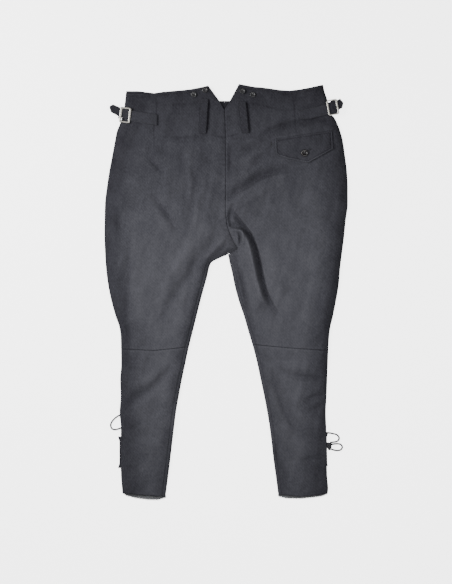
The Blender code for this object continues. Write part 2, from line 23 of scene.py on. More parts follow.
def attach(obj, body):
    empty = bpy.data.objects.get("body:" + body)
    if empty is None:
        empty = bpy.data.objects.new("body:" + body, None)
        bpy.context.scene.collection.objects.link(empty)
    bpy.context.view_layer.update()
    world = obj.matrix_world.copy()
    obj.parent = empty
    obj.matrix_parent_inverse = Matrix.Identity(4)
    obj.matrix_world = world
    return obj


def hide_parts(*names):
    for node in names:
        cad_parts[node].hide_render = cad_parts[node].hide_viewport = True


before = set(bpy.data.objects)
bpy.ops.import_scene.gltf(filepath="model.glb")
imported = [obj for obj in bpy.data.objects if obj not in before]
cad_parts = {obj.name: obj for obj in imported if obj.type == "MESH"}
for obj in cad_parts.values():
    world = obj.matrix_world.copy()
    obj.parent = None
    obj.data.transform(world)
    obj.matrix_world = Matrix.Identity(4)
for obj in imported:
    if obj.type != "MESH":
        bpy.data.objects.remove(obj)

LOG = logging.getLogger("riding_breeches")
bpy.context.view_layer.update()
ROOT = "root"
MM = 0.001
Array = np.ndarray
Values = Union[float, Array]

WAIST_LINE_Y = 515.3  # Y of drop 0
SEAM_GAP = 0.3  # between neighbouring pieces of cloth
CENTRE_GAP = 0.12  # across the whole of the centre seam
FRONT_WALL = 2.2
BACK_WALL = 2.0
EDGE_TOP = 4.7  # the back's outer face at its edges
INNER_ROLL = 34.0  # how far the rounding beside an inseam reaches
CROTCH_DROP = 421.0
DIP_START_DROP = 322.0  # from here down the two legs round off towards each other
CROTCH_REACH = 40.0
SEAM_FADE = 40.0  # above the crotch the centre seam's relief fades over this
SLIT_LIFT, SLIT_FADE = 4.4, 26.0
HEM_DROP = 1019.0
# directions of four corners, anticlockwise
QUARTERS = ((1, 1), (-1, 1), (-1, -1), (1, -1))
CORD_DIAMETER = 4.0
INSEAM_INSET = 8.5  # the front's cloth wraps round, so the inseam shows this far in
FOLD_GAIN = 1.55  # the soft folds stand this much higher than the source's coarse ones
FOLD_CLEARANCE = 0.3  # the deepest fold stops this far above the front
RIDGE_LIMIT = 11.0  # no ridge stands higher than this over the hollow form
DIAGONAL = {"wave_type": "BANDS", "bands_direction": "DIAGONAL"}
WAVE_SCALE = 0.28  # a wave pattern's scale for bands about one unit apart
WEAR_AND_SHADE = "wear_and_shade"  # how far the nap is worn pale, with painted light and shade added, from 0 to 1
# the wear's share at each drop, with a painted fall-off of light: palest over seat and thighs, darker
# towards waist and hems
WEAR_AND_FALLOFF_DROPS = (0, 30, 70, 120, 200, 300, 420, 540, 650, 770, 900, 1020)
WEAR_AND_FALLOFF_SHARES = (0.02, 0.10, 0.31, 0.40, 0.50, 0.68, 0.86, 0.90, 0.84, 0.90, 0.79, 0.58)


class Leg(Enum):
    """A leg, by its side in the picture."""

    LEFT = "left"
    RIGHT = "right"

    @property
    def sign(self) -> int:
        """The leg's direction along X."""
        return -1 if self is Leg.LEFT else 1


class Side(NamedTuple):
    """Distance of both sides from the centre line at one drop."""

    drop: float
    left: float
    right: float


class Edge(NamedTuple):
    """A point of an edge that runs across the garment."""

    x: float
    drop: float


class Form(NamedTuple):
    """How high the back stands above its edge at a drop, and how wide a side's rounding is."""

    drop: float
    rise: float
    roll: float


class Crease(NamedTuple):
    """A soft ridge (height above 0) or trough along a path, fading at its two ends."""

    path: tuple[tuple[float, float], ...]
    height: float
    width: float
    lean: float = 0.0


class Ridge(NamedTuple):
    """A narrow ridge (height above 0) or groove at a distance from a line, and its half width."""

    height: float
    at: float
    width: float


class Ripple(NamedTuple):
    """Faint waves of the cloth: their length, their height and how many there are."""

    length: float
    height: float
    count: int


SIDES = [Side(*row) for row in (
    (-6, 249, 241.5), (15, 250, 246), (35, 252, 252.5), (57, 255, 255),
    (68, 257.5, 256.5), (77, 259.5, 268), (95, 265, 278), (115, 273, 285.5),
    (135, 277, 291), (175, 284.5, 297), (215, 292, 302), (255, 298, 304),
    (295, 302.5, 304), (335, 303.5, 299), (375, 304, 295), (415, 302.5, 290),
    (455, 300, 285), (495, 295, 281.5), (535, 287, 275), (575, 276, 267),
    (605, 266, 260), (630, 263, 257), (695, 262, 254), (735, 264.5, 252.5),
    (775, 263.5, 251), (815, 265.5, 249), (855, 262.5, 250), (935, 263.5, 251.5),
    (975, 262.5, 252.5), (1005, 260, 255), (1040, 257, 249),
)]
INNER = [Side(*row) for row in (
    (-6, -5, -5), (57, -4, -4), (147, -1, -1), (305, -1.5, -1.5),
    (343, 1.5, 1.5), (358, 5.5, 5.5), (377, 12.5, 12.5), (397, 23, 23),
    (404.5, 28, 28), (412, 20, 20), (CROTCH_DROP, 4.5, 4.5), (426, -7.5, 5.8),
    (433, -22, 7), (441, -36.5, 8.5), (455, -42.5, 12), (475, -47, 16.5),
    (495, -52.5, 20.5), (535, -63.5, 31), (575, -73.5, 44.5), (615, -83.5, 56),
    (655, -93.5, 68), (695, -102, 78), (735, -110.5, 86.5), (775, -118, 95),
    (815, -125, 102.5), (855, -130, 109), (935, -139.5, 118.5),
    (975, -144.5, 124), (1040, -153, 132.5),
)]
BACK_WAIST = [Edge(*row) for row in (
    (-250, 18.5), (-203, 20), (-187, 20), (-156, 15.5), (-90, 9.5),
    (-63, 4.5), (-44.5, 0), (-30, 20), (-17, 38), (-5, 60),
    (-3, 58), (10, 37), (22, 15), (32, -4), (67, 2.5), (92, 5),
    (135, 11.5), (160, 12.5), (184, 9.5), (209, 5), (242, -2.5),
)]
FISHTAIL = {Leg.LEFT: (-44.5, -17.0), Leg.RIGHT: (32.0, 10.0)}
FRONT_WAIST = [Edge(*row) for row in (
    (-250, 13), (-219, 13), (-187, 17), (-150, 23), (-60, 34),
    (-17, 37.5), (9, 37.5), (60, 31), (150, 25), (242, 10),
)]
KNEE = [Edge(*row) for row in (
    (-262, 657), (-178, 661), (-94, 652), (68, 646), (165, 655), (256, 661),
)]
BACK_HEM = [Edge(*row) for row in (
    (-258, 1017), (-228, 1020), (-195, 1022), (-152, 1026),
    (132, 1021), (169, 1023), (187, 1025), (222, 1022), (252, 1018),
)]
BAND_HEM = [Edge(*row) for row in (
    (-258, 1018), (-249, 1024), (-226, 1030), (-195, 1034), (-171, 1034.6),
    (-152, 1029), (132, 1026), (151, 1031), (187, 1031.5), (222, 1028),
    (240, 1025), (252, 1020),
)]
FORMS = [Form(*row) for row in (
    (0, 5.2, 12), (60, 5.6, 13), (110, 7.5, 20), (160, 10.5, 32),
    (230, 13.0, 40), (330, 13.5, 42), (430, 13.0, 38), (560, 11.5, 34),
    (655, 9.5, 28), (740, 10.5, 30), (850, 9.6, 28), (960, 7.8, 24),
    (1025, 6.0, 20),
)]

CREASES = {
    Leg.LEFT: [Crease(*row) for row in (
        (((-192, 180), (-170, 205), (-148, 222)), -3.0, 7),
        (((-188, 268), (-149, 316), (-128, 352), (-104, 370)), -2.8, 7, 0.4),
        (((-172, 264), (-140, 258), (-104, 246)), 1.4, 8),
        (((-112, 162), (-110, 190), (-108, 224)), -1.8, 7),
        (((-72, 262), (-72, 310), (-80, 356), (-100, 406)), 1.6, 8),
        (((-185, 290), (-160, 330), (-135, 365)), 1.6, 14),
        (((-52, 170), (-66, 204), (-71, 240), (-78, 275), (-90, 350)), -1.9, 10),
        (((-66, 148), (-88, 166), (-92, 214), (-88, 250), (-94, 300)), 2.0, 9),
        (((-150, 128), (-120, 138), (-85, 140), (-60, 128)), -0.8, 9),
        (((-235, 375), (-242, 455), (-248, 572), (-243, 655), (-236, 750)), -3.0, 10, 0.5),
        (((-212, 400), (-218, 500), (-222, 600), (-215, 700)), 1.6, 16),
        (((-272, 300), (-268, 340), (-264, 385)), -1.8, 8),
        (((-8, 366), (-46, 404), (-71, 438), (-92, 474), (-160, 562)), -3.6, 12),
        (((6, 386), (-10, 410), (-43, 445)), -2.2, 6),
        (((2, 376), (-26, 404), (-56, 440)), 2.0, 6),
        (((-20, 352), (-60, 372), (-98, 415), (-128, 460), (-165, 520)), 3.0, 15),
        (((-122, 520), (-142, 555), (-168, 595)), -2.2, 10),
        (((-105, 560), (-125, 600), (-140, 640)), 1.4, 12),
        (((-112, 668), (-150, 714), (-190, 757), (-232, 784), (-264, 812)), -4.2, 13, 0.2),
        (((-128, 680), (-158, 712), (-192, 742), (-222, 760)), 2.4, 13),
        (((-240, 850), (-205, 872), (-175, 870)), -1.2, 12),
        (((-245, 930), (-215, 960), (-180, 965)), 1.1, 15),
        (((-168, 141), (-120, 147), (-70, 143), (-8, 141)), 1.5, 7),
    )],
    Leg.RIGHT: [Crease(*row) for row in (
        (
            ((15, 311), (25, 324), (42, 346), (61, 371), (74, 401), (83, 435), (101, 515), (130, 572)),
            -13.5, 5.4, 0.75,
        ),
        (((19, 295), (9, 327), (13, 356)), -4.4, 5.5),
        (((11, 361), (30, 361), (41, 368), (43, 398)), 5.0, 3.4),
        (((31, 366), (35, 382), (33, 404)), -5.5, 3.2),
        (((14, 338), (36, 356), (54, 390), (66, 440), (80, 500), (96, 545)), 5.0, 6.5),
        (((100, 380), (115, 440), (125, 500), (150, 560)), 2.0, 17),
        (((166, 212), (118, 218), (82, 231), (51, 252), (22, 270), (2, 291)), -6.0, 8.5, 0.4),
        (((160, 242), (110, 252), (70, 275), (35, 305)), 2.2, 14),
        (((160, 185), (112, 190), (70, 206), (32, 230), (8, 256)), 1.8, 13),
        (((8, 141), (45, 141), (85, 130), (125, 112)), 1.5, 7),
        (((262, 82), (185, 90), (135, 102), (108, 112), (82, 132)), -4.6, 8.5, -0.5),
        (((110, 132), (150, 127), (190, 119)), 2.4, 5),
        (((52, 218), (76, 192), (100, 168)), -2.4, 7),
        (((36, 198), (66, 174), (102, 158)), 1.8, 7),
        (((38, 158), (62, 156), (84, 146)), -1.8, 8),
        (((11, 140), (11, 185), (9, 236)), -2.6, 6),
        (((8, 345), (26, 350), (48, 357)), -6.5, 7),
        (((232, 88), (250, 94), (280, 104)), -1.4, 7),
        (((20, 412), (27, 446), (41, 490), (56, 560), (72, 625)), -4.6, 6.6),
        (((84, 545), (108, 562), (140, 584)), -2.8, 11),
        (((70, 585), (110, 600), (150, 612)), 1.6, 12),
        (((130, 706), (165, 722), (205, 731), (250, 734)), -3.4, 9),
        (((140, 690), (180, 700), (230, 708)), 1.4, 11),
        (((118, 702), (128, 750), (142, 792), (166, 842), (196, 888)), -4.2, 12, -0.3),
        (((88, 730), (108, 790), (128, 850)), 1.5, 12),
        (((194, 792), (222, 776), (248, 768)), -3.2, 8),
        (((205, 812), (228, 802), (248, 790)), -1.6, 7),
        (((178, 932), (215, 932), (250, 924)), -1.6, 8),
        (((120, 885), (127, 925), (140, 955), (158, 985)), -3.6, 8),
        (((205, 215), (215, 300), (222, 400), (215, 500)), 1.4, 26),
    )],
}


def smooth(t: Values) -> Array:
    """A soft step from 0 to 1."""
    t = np.clip(t, 0.0, 1.0)
    return t * t * (3 - 2 * t)


def mix(a: Values, b: Values, t: Values) -> Values:
    """The value a share t of the way from a to b."""
    return a + (b - a) * t


def pressed(distance: Array, *ridges: Ridge) -> Array:
    """What narrow ridges and grooves add, at distances from the line that they follow."""
    return sum(row.height * np.exp(-(((distance - row.at) / row.width) ** 2)) for row in ridges)


def srgb(code: str) -> tuple[float, float, float, float]:
    """Turns the six digits of an sRGB hex colour to linear red, green, blue and alpha."""
    parts = (int(code[i : i + 2], 16) / 255 for i in (0, 2, 4))
    return (*(c / 12.92 if c <= 0.04045 else ((c + 0.055) / 1.055) ** 2.4 for c in parts), 1.0)


def monotone(rows: Sequence[NamedTuple], column: str) -> Callable[[Array], Array]:
    """A curve through a table's rows that never overshoots them.

    Args:
        rows: The table, in rising order of its first column.
        column: The column to read.

    Returns:
        A function of the first column.
    """
    keys = np.array([row[0] for row in rows], float)
    values = np.array([getattr(row, column) for row in rows], float)
    secants = np.diff(values) / np.diff(keys)
    before = np.concatenate((secants[:1], secants))
    after = np.concatenate((secants, secants[-1:]))
    slopes = np.where(before * after > 0, 2 * before * after / (before + after + 1e-12), 0.0)

    def read(at: Array) -> Array:
        """Reads the curve.

        Args:
            at: Values of the first column, which may lie past its ends.

        Returns:
            The column's values there.
        """
        at = np.clip(np.asarray(at, float), keys[0], keys[-1])
        k = np.clip(np.searchsorted(keys, at, side="right") - 1, 0, len(keys) - 2)
        span = keys[k + 1] - keys[k]
        t = (at - keys[k]) / span
        return (
            values[k] * (2 * t**3 - 3 * t**2 + 1)
            + values[k + 1] * (3 * t**2 - 2 * t**3)
            + span * (slopes[k] * (t**3 - 2 * t**2 + t) + slopes[k + 1] * (t**3 - t**2))
        )

    return read


def along(rows: Sequence[Edge], x: Array) -> Array:
    """An edge's drop at X, by straight steps between its points."""
    return np.interp(x, [row.x for row in rows], [row.drop for row in rows])


def eased(count: int) -> Array:
    """Shares from 0 to 1 that stand closer together at both ends."""
    return 0.5 - 0.5 * np.cos(np.pi * np.linspace(0, 1, count))


def spaced(first: float, last: float, step: float) -> Array:
    """Stations from first to last, about a step apart."""
    return np.linspace(first, last, max(2, round((last - first) / step) + 1))


def place(x: float, drop: float, z: float) -> Vector:
    """A point of the garment in metres."""
    return Vector((x * MM, (WAIST_LINE_Y - drop) * MM, z * MM))


@dataclass
class Drape:
    """The low hollow form that the back takes as it lies on the front."""

    dome_power: float = 2.4  # how full the rounding of an edge is
    edge_rounds: int = 8  # passes that settle where an edge meets a side
    crotch_tries: int = 41  # drops tried for the slanted distance at the crotch
    crease_reach: float = 3.2  # widths from a crease at which it has died away
    crease_evening: float = 0.35  # share of a width over which its lean changes sides
    crease_taper: float = 0.6  # how soon a crease rises from its two ends
    slit_drops: dict[Leg, tuple[float, float]] = field(
        default_factory=lambda: {Leg.LEFT: (812.0, 866.0), Leg.RIGHT: (858.0, 912.0)}
    )
    side_shade_and_wear: tuple[float, float] = (0.25, 80.0)  # least tone at a side, with painted shade where the cloth rounds away there, and its fade inwards
    # least tone beside an inseam, with painted shade where the cloth rounds away there, and its fade
    # inwards
    inner_shade_and_wear: tuple[float, float] = (0.58, 40.0)
    parting: tuple[float, float] = (380.0, 80.0)  # where the painted shade beside an inseam sets in
    fold_highlight_and_shade: float = 0.035  # painted highlight on ridges and painted shade in troughs, for each millimetre of a fold
    ripple_wear: float = 0.05
    ripples: tuple[Ripple, ...] = (
        Ripple(110, 0.42, 9), Ripple(52, 0.24, 12), Ripple(24, 0.10, 14), Ripple(11, 0.035, 12),
    )
    seed: int = 11

    def __post_init__(self) -> None:
        """Reads the outline and the form tables once."""
        self._side = {leg: monotone(SIDES, leg.value) for leg in Leg}
        self._inner = {leg: monotone(INNER, leg.value) for leg in Leg}
        self._rise = monotone(FORMS, "rise")
        self._roll = monotone(FORMS, "roll")
        self._waves = self._make_waves()
        self._routes: dict[tuple, Array] = {}

    def _make_waves(self) -> Array:
        """Draws the faint waves' directions, phases and sizes from the fixed seed.

        Returns:
            A row for each wave: turns along X and along drop, phase and height.
        """
        chance = np.random.default_rng(self.seed)
        rows = []
        for ripple in self.ripples:
            for _ in range(ripple.count):
                angle = chance.uniform(0, math.pi)
                size = ripple.length * chance.uniform(0.75, 1.35)
                turn = 2 * math.pi / size
                rows.append((turn * math.cos(angle), turn * math.sin(angle),
                             chance.uniform(0, 2 * math.pi), ripple.height * chance.uniform(0.6, 1.2)))
        return np.array(rows)

    def outer_edge(self, leg: Leg, drop: Array) -> Array:
        """A leg's outer side, as a distance from the centre line."""
        return self._side[leg](drop)

    def inner_edge(self, leg: Leg, drop: Array) -> Array:
        """X of the centre seam or the inseam, on one leg's own side of it."""
        nearer = np.minimum if leg is Leg.LEFT else np.maximum
        return nearer(*(inner(drop) for inner in self._inner.values())) + leg.sign * CENTRE_GAP / 2

    def ends(self, leg: Leg, drop: Array) -> tuple[Array, Array]:
        """X of a leg's left and right edges at each drop."""
        edges = (leg.sign * self.outer_edge(leg, drop), self.inner_edge(leg, drop))
        return edges if leg is Leg.LEFT else edges[::-1]

    def side_of(
        self, leg: Leg, end: int, top: Sequence[Edge], low: Sequence[Edge], shares: Array
    ) -> Array:
        """X of a panel's left or right end.

        Args:
            leg: The panel's leg.
            end: 0 for its left end and 1 for its right.
            top: The edge that it starts from.
            low: The edge that it reaches down to.
            shares: Shares of its height.

        Returns:
            X at each share.
        """
        reached = []
        for edge in (top, low):
            drop = np.array([edge[0].drop])
            for _ in range(self.edge_rounds):
                drop = along(edge, self.ends(leg, drop)[end])
            reached.append(drop)
        return self.ends(leg, mix(*reached, shares))[end]

    def unevenness(self, x: Array, drop: Array) -> Array:
        """The cloth's faint unevenness.

        Args:
            x: X of each point.
            drop: Drop of each point.

        Returns:
            Heights to add, in millimetres.
        """
        total = np.zeros_like(x)
        # the waves wander by a few millimetres, so that none of them runs straight
        bend = 9 * np.sin(x / 61 + 1.1) + 7 * np.sin(drop / 47 + x / 90)
        for turn_x, turn_d, phase, height in self._waves:
            total += height * np.sin(turn_x * (x + bend) + turn_d * (drop - bend) + phase)
        return total

    def crease(self, crease: Crease, x: Array, drop: Array) -> Array:
        """What one crease adds.

        Args:
            crease: The crease.
            x: X of each point.
            drop: Drop of each point.

        Returns:
            Heights to add, in millimetres.
        """
        if crease.path not in self._routes:
            points = [(*point, 0.0) for point in crease.path]
            self._routes[crease.path] = smooth_route(points, 5.0)[:, :2]
        route = self._routes[crease.path]
        reach = self.crease_reach * crease.width * (1 + abs(crease.lean))
        low, high = route.min(axis=0) - reach, route.max(axis=0) + reach
        near = (x > low[0]) & (x < high[0]) & (drop > low[1]) & (drop < high[1])
        added = np.zeros_like(x)
        if not near.any():
            return added
        px, pd = x[near], drop[near]
        best = np.full(px.shape, np.inf)
        share = np.zeros_like(px)
        side = np.zeros_like(px)
        count = len(route) - 1
        for i in range(count):
            a, step = route[i], route[i + 1] - route[i]
            t = np.clip(((px - a[0]) * step[0] + (pd - a[1]) * step[1]) / (step @ step), 0, 1)
            dx, dd = px - a[0] - t * step[0], pd - a[1] - t * step[1]
            distance = np.hypot(dx, dd)
            closer = distance < best
            best = np.where(closer, distance, best)
            share = np.where(closer, (i + t) / count, share)
            side = np.where(closer, (step[0] * dd - step[1] * dx) / math.hypot(*step), side)
        side = side / (np.abs(side) + self.crease_evening * crease.width)
        width = crease.width * (1 + crease.lean * side)
        taper = np.sin(np.pi * np.clip(share, 0.001, 0.999)) ** self.crease_taper
        added[near] = crease.height * taper * np.exp(-((best / width) ** 2))
        return added

    def from_inner_edge(self, leg: Leg, x: Array, drop: Array) -> Array:
        """Distance from centre seam or inseam, measured slantwise where the crotch turns it.

        Args:
            leg: Which side it is.
            x: X of each point.
            drop: Drop of each point.

        Returns:
            Distances in millimetres.
        """
        nearest = np.array(np.abs(self.inner_edge(leg, drop) - x))
        near = (np.abs(drop - CROTCH_DROP) < 3 * CROTCH_REACH) & (nearest < INNER_ROLL + CROTCH_REACH)
        if near.any():
            x, drop, best = x[near], drop[near], nearest[near]
            for shift in np.linspace(-CROTCH_REACH, CROTCH_REACH, self.crotch_tries):
                across = (self.inner_edge(leg, drop + shift) - x) * -leg.sign
                best = np.minimum(best, np.hypot(np.maximum(across, 0.0), shift))
            nearest[near] = best
        return nearest

    def dome(self, t: Array) -> Array:
        """The rounding of an edge, from 0 at the edge to 1 where it is over."""
        return 1 - (1 - np.clip(t, 0, 1)) ** self.dome_power

    def swell(self, leg: Leg, x: Array, drop: Array) -> Array:
        """How far the back has risen from its edges.

        Args:
            leg: Which side it is.
            x: X of each point.
            drop: Drop of each point.

        Returns:
            Shares from 0 to 1.
        """
        x, drop = np.broadcast_arrays(np.asarray(x, float), np.asarray(drop, float))
        risen = self.dome((self.outer_edge(leg, drop) - leg.sign * x) / self._roll(drop))
        parted = smooth((drop - DIP_START_DROP) / (CROTCH_DROP - DIP_START_DROP))
        if not (parted > 0).any():
            return risen
        inner = self.dome(self.from_inner_edge(leg, x, drop) / INNER_ROLL)
        return risen * (1 - parted * (1 - inner))

    def folds(self, leg: Leg, x: Array, drop: Array) -> Array:
        """What all creases of one side add at each point."""
        return FOLD_GAIN * sum(self.crease(item, x, drop) for item in CREASES[leg])

    def surface(self, leg: Leg, x: Array, drop: Array) -> Array:
        """Height of the back's outer face.

        Args:
            leg: Which side it is.
            x: X of each point.
            drop: Drop of each point.

        Returns:
            Heights above the floor, in millimetres.
        """
        x, drop = np.asarray(x, float), np.asarray(drop, float)
        swell = self.swell(leg, x, drop)
        folds = self.folds(leg, x, drop) + self.unevenness(x, drop)
        first, last = self.slit_drops[leg]
        enter = smooth((drop - first + SLIT_FADE) / SLIT_FADE)
        lift = SLIT_LIFT * enter * smooth((last + SLIT_FADE - drop) / SLIT_FADE)
        rise = self._rise(drop)
        room = np.where(folds < 0, rise - FOLD_CLEARANCE, RIDGE_LIMIT)
        return EDGE_TOP + lift * (1 - swell) + swell * (rise + room * np.tanh(folds / room))

    def wear_and_shade(self, leg: Leg, x: Array, drop: Array) -> Array:
        """How pale the nap is worn over seat and thighs, with painted shade towards waist, hems, sides and
        fold troughs, and painted highlight on fold ridges.

        Args:
            leg: Which side it is.
            x: X of each point.
            drop: Drop of each point.

        Returns:
            Wear with painted light and shade, about 0 where the cloth is darkest and 1 where it is palest.
        """
        # painted shade at the outer sides and, below the crotch, beside the inseams, where the cloth
        # rounds away
        side = smooth((self.outer_edge(leg, drop) - leg.sign * x) / self.side_shade_and_wear[1])
        inner = smooth(self.from_inner_edge(leg, x, drop) / self.inner_shade_and_wear[1])
        within = mix(1.0, inner, smooth((drop - self.parting[0]) / self.parting[1]))
        middle = mix(self.side_shade_and_wear[0], 1.0, side) * mix(self.inner_shade_and_wear[0], 1.0, within)
        # painted fall-off of light from the thighs towards waist and hems, together with the seat's and
        # thighs' wear
        worn = np.interp(drop, WEAR_AND_FALLOFF_DROPS, WEAR_AND_FALLOFF_SHARES) * middle
        # painted highlight on the folds' ridges and painted shade in their troughs
        worn += self.fold_highlight_and_shade * self.folds(leg, x, drop)
        # the wear's own clouds are the cloth's ripples, read smaller and from another place
        return worn + self.ripple_wear * self.unevenness(x * 1.7 + 90, drop * 1.7)

    def height(self, x: float, drop: float) -> float:
        """Height of the back's outer face at one point."""
        leg = Leg.LEFT if x < 0 else Leg.RIGHT
        return float(self.surface(leg, np.array([x]), np.array([drop]))[0])


def smooth_route(points: Sequence[Sequence[float]], step: float) -> Array:
    """Points on a smooth curve through a route's own points.

    Args:
        points: The route's points.
        step: About how far apart the new points are.

    Returns:
        The new points, as rows.
    """
    route = np.array(points, float)
    padded = np.vstack((2 * route[0] - route[1], route, 2 * route[-1] - route[-2]))
    found = []
    for i in range(1, len(padded) - 2):
        before, a, b, after = padded[i - 1 : i + 3]
        count = max(2, math.ceil(np.linalg.norm(b - a) / step))
        for t in np.linspace(0, 1, count, endpoint=False):
            found.append(0.5 * (2 * a + (b - before) * t + (2 * before - 5 * a + 4 * b - after) * t**2
                                + (3 * a - before - 3 * b + after) * t**3))
    found.append(route[-1])
    return np.array(found)


DRAPE = Drape()


def linked(name: str, data: ID) -> Object:
    """Puts a new object into the scene.

    Args:
        name: Its name.
        data: Its mesh, camera or light.

    Returns:
        The object.
    """
    made = bpy.data.objects.new(name, data)
    bpy.context.scene.collection.objects.link(made)
    return made


def finished(name: str, mesh: Mesh, material: Material) -> Object:
    """Puts a mesh that is already in its place into the scene.

    Args:
        name: The piece's name.
        mesh: Its mesh, in metres.
        material: Its finish.

    Returns:
        The piece, riding on the garment.
    """
    mesh.materials.clear()
    mesh.materials.append(material)
    piece = linked(name, mesh)
    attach(piece, ROOT)
    return piece


def standing_for(node: str, part: str, mesh: Mesh, material: Material) -> Object:
    """Puts a mesh into the scene in place of a node of the source.

    Args:
        node: The node's name.
        part: What the visible piece is, for its own name.
        mesh: Its mesh, in metres.
        material: Its finish.

    Returns:
        The piece.
    """
    piece = finished(f"{node}_{part}", mesh, material)
    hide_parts(node)
    return piece


def closed_mesh(name: str, x: Array, drop: Array, high: Array, low: Array) -> Mesh:
    """A closed wall of cloth between an upper and a lower grid of heights over X and drop."""
    plan = (x, WAIST_LINE_Y - drop)
    return walled_mesh(name, np.stack((*plan, high), axis=-1), np.stack((*plan, low), axis=-1))


def shell_mesh(name: str, x: Array, drop: Array, z: Array, wall: float) -> Mesh:
    """A closed thin wall under a grid of points on its outer face.

    Args:
        name: The mesh's name.
        x: Grid of distances from the centre line, rising along each row.
        drop: Grid of distances down from the waist line, rising down each column.
        z: Grid of heights of the outer face.
        wall: The cloth's thickness.

    Returns:
        The mesh, in metres.
    """
    outer = np.stack((x, WAIST_LINE_Y - drop, z), axis=-1)
    normal = np.cross(np.gradient(outer, axis=0), np.gradient(outer, axis=1))
    normal /= np.linalg.norm(normal, axis=-1, keepdims=True) + 1e-12
    return walled_mesh(name, outer, outer - wall * normal)


def walled_mesh(name: str, outer: Array, inner: Array) -> Mesh:
    """A closed wall of quads between two grids of points.

    Args:
        name: The mesh's name.
        outer: Points of one face, in millimetres.
        inner: Points of the other face.

    Returns:
        The mesh, in metres, with its faces pointing outwards.
    """
    rows, columns = outer.shape[:2]
    points = np.concatenate((outer.reshape(-1, 3), inner.reshape(-1, 3))) * MM
    index = np.arange(rows * columns).reshape(rows, columns)
    a, b = index[:-1, :-1].ravel(), index[1:, :-1].ravel()
    c, d = index[1:, 1:].ravel(), index[:-1, 1:].ravel()
    under = rows * columns
    top = np.stack((a, b, c, d), axis=1)
    bottom = np.stack((d, c, b, a), axis=1) + under
    loop = np.concatenate((index[0, ::-1], index[1:, 0], index[-1, 1:], index[-2:0:-1, -1]))
    after = np.roll(loop, -1)
    rim = np.stack((loop, loop + under, after + under, after), axis=1)
    faces = np.concatenate((top, bottom, rim))
    mesh = bpy.data.meshes.new(name)
    mesh.from_pydata(points.tolist(), [], faces.tolist())
    build = bmesh.new()
    build.from_mesh(mesh)
    bmesh.ops.recalc_face_normals(build, faces=build.faces)
    build.to_mesh(mesh)
    build.free()
    mesh.shade_smooth()
    return mesh


def settled(name: str, build: BMesh, home: Matrix) -> Mesh:
    """Turns a shape into a smooth mesh at its place, with its faces pointing outwards.

    Args:
        name: The mesh's name.
        build: The shape, which is used up.
        home: Its place, turn and scale.

    Returns:
        The mesh.
    """
    bmesh.ops.recalc_face_normals(build, faces=build.faces)
    build.transform(home)
    mesh = bpy.data.meshes.new(name)
    build.to_mesh(mesh)
    build.free()
    mesh.shade_smooth()
    return mesh


def bridge(build: BMesh, rings: Sequence[Sequence[BMVert]]) -> None:
    """Joins each ring of points to the next with faces, which are triangles at a pole.

    Args:
        build: The mesh that the points are in.
        rings: Rings with the same number of points; a pole repeats its one point.
    """
    for a, b in zip(rings, rings[1:]):
        for k in range(len(a)):
            n = (k + 1) % len(a)
            build.faces.new(tuple(dict.fromkeys((a[k], a[n], b[n], b[k]))))


def add_tube(build: BMesh, route: Array, radius: Values, sides: int) -> None:
    """Adds a closed tube along a route.

    Args:
        build: The mesh that it is added to.
        route: Points along its middle.
        radius: Its radius, or one for each point and side.
        sides: Faces around it.
    """
    count = len(route)
    radii = np.broadcast_to(radius, (count, sides))
    tangents = np.gradient(route, axis=0)
    tangents /= np.linalg.norm(tangents, axis=1, keepdims=True)
    across = np.cross(tangents[0], (0.0, 0.0, 1.0))
    if np.linalg.norm(across) < 0.1:
        across = np.cross(tangents[0], (0.0, 1.0, 0.0))
    turn = 2 * np.pi * np.arange(sides)[:, None] / sides
    rings = []
    for i in range(count):
        across = across - tangents[i] * (across @ tangents[i])
        across = across / np.linalg.norm(across)
        over = np.cross(tangents[i], across)
        ring = route[i] + radii[i][:, None] * (np.cos(turn) * across + np.sin(turn) * over)
        rings.append([build.verts.new(point) for point in ring])
    bridge(build, rings)
    build.faces.new(rings[0][::-1])
    build.faces.new(rings[-1])


def paint_wear_and_shade(mesh: Mesh, values: Values) -> None:
    """Writes how far the nap is worn at each point of a mesh, with its painted light and shade, the same
    on both its faces.

    Args:
        mesh: A closed wall of cloth.
        values: The wear and painted shade, alike everywhere or one value for each point of its outer face.
    """
    layer = mesh.attributes.new(WEAR_AND_SHADE, "FLOAT", "POINT")
    count = len(mesh.vertices)
    both = np.tile(np.ravel(values), 2) if np.ndim(values) else np.full(count, float(values))
    layer.data.foreach_set("value", both.astype(np.float32))


def modified(name: str, mesh: Mesh, kind: str, settings: dict[str, object]) -> Mesh:
    """The plain mesh that a modifier makes from a mesh.

    Args:
        name: Name of the modifier.
        mesh: The mesh that it starts from.
        kind: The modifier's type.
        settings: Its attributes, and the identifiers of a tree's sockets with their values.

    Returns:
        The new mesh. The object that carried the modifier is gone.
    """
    carrier = linked(name, mesh)
    modifier = carrier.modifiers.new(name, kind)
    for key, value in settings.items():
        if hasattr(modifier, key):
            setattr(modifier, key, value)
        else:
            modifier[key] = value
    bpy.context.view_layer.update()
    evaluated = carrier.evaluated_get(bpy.context.evaluated_depsgraph_get())
    made = bpy.data.meshes.new_from_object(evaluated)
    bpy.data.objects.remove(carrier, do_unlink=True)
    return made


def fill(node: Node, **links: object) -> None:
    """Sets or links a node's inputs.

    Args:
        node: The node.
        **links: Socket names with spaces as underscores, or n and a number, and what each
            gets: a value, or an output socket.
    """
    for key, value in links.items():
        spot = int(key[1:]) if key[0] == "n" and key[1:].isdigit() else key.replace("_", " ")
        if isinstance(value, NodeSocket):
            node.id_data.links.new(value, node.inputs[spot])
        else:
            node.inputs[spot].default_value = value


